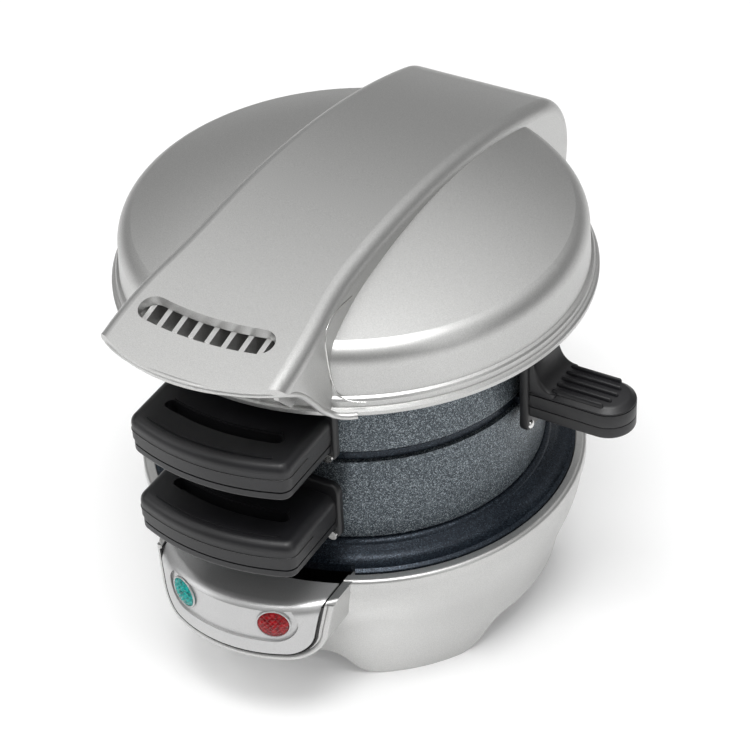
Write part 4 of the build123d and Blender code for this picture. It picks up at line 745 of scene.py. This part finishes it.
def make_world():
    """Studio surroundings, graded by elevation."""
    world = bpy.data.worlds.new("studio")
    bpy.context.scene.world = world
    world.use_nodes = True
    tree = world.node_tree
    place = add_node(tree, "ShaderNodeTexCoord")
    split = add_node(tree, "ShaderNodeSeparateXYZ")
    tree.links.new(place.outputs["Generated"], split.inputs[0])
    sky = ramp(tree, split.outputs["Z"], SKY)
    tree.links.new(sky, tree.nodes["Background"].inputs["Color"])


def make_lamp(name, place, aim_height, size, power):
    """A soft rectangular studio lamp that faces the appliance."""
    data = bpy.data.lights.new(name, "AREA")
    data.shape = "RECTANGLE"
    data.size, data.size_y = size
    data.energy = power
    lamp = bpy.data.objects.new(name, data)
    direction = Vector((0, 0, aim_height)) - Vector(place)
    lamp.location = place
    lamp.rotation_euler = direction.to_track_quat("-Z", "Y").to_euler()
    bpy.context.scene.collection.objects.link(lamp)


def make_floor():
    """White table top with a faint polish that keeps the shadow."""
    half = FLOOR_SIZE / 2
    corners = [(-half, -half, 0), (half, -half, 0), (half, half, 0), (-half, half, 0)]
    mesh = bpy.data.meshes.new("floor")
    mesh.from_pydata(corners, [], [(0, 1, 2, 3)])
    floor = bpy.data.objects.new("floor", mesh)
    bpy.context.scene.collection.objects.link(floor)
    mesh.materials.append(floor_white())


def floor_white():
    """White floor that looks lit to the camera, and as bright in gloss and through glass."""
    material, tree, shader = new_material("floor_white")
    cloud = object_noise(tree, scale=4.0, detail=2.0)
    colour = ramp(tree, cloud, zip_stops((0.3, 0.7), FLOOR_GREY))
    tree.links.new(colour, shader.inputs["Base Color"])
    shader.inputs["Roughness"].default_value = 0.2
    shader.inputs["IOR"].default_value = 1.6
    shader.inputs["Emission Color"].default_value = (1.0, 1.0, 1.0, 1.0)
    path = add_node(tree, "ShaderNodeLightPath")
    seen = add_node(tree, "ShaderNodeMath", operation="MAXIMUM")
    tree.links.new(path.outputs["Is Camera Ray"], seen.inputs[0])
    tree.links.new(path.outputs["Is Glossy Ray"], seen.inputs[1])
    through = add_node(tree, "ShaderNodeMath", operation="MAXIMUM")
    tree.links.new(seen.outputs[0], through.inputs[0])
    tree.links.new(path.outputs["Is Transmission Ray"], through.inputs[1])
    glow = add_node(tree, "ShaderNodeMath", operation="MULTIPLY")
    glow.inputs[1].default_value = FLOOR_GLOW
    tree.links.new(through.outputs[0], glow.inputs[0])
    tree.links.new(glow.outputs[0], shader.inputs["Emission Strength"])
    return material


# ---------------------------------------------------------------- the scene

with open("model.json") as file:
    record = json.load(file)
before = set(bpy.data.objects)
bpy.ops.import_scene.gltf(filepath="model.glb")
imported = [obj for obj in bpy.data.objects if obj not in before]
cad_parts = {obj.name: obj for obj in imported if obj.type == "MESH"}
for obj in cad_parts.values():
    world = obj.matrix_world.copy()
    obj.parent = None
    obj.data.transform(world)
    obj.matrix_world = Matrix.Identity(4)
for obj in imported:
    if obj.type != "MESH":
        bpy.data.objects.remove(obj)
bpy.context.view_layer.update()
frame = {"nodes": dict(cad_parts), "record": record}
bpy.context.scene.view_settings.view_transform = "Standard"

make_camera()
make_world()
make_floor()
for lamp in LAMPS:
    make_lamp(*lamp)
materials = make_materials()
dress_nodes(frame, materials)
side_handle(materials)
lens("preheat_jewel", -1, "green_jewel", "preheat_lens", materials)
lens("power_jewel", 1, "red_jewel", "power_lens", materials)
cover_edges(materials)
panel_edges(materials)
handle_seams(frame, materials)
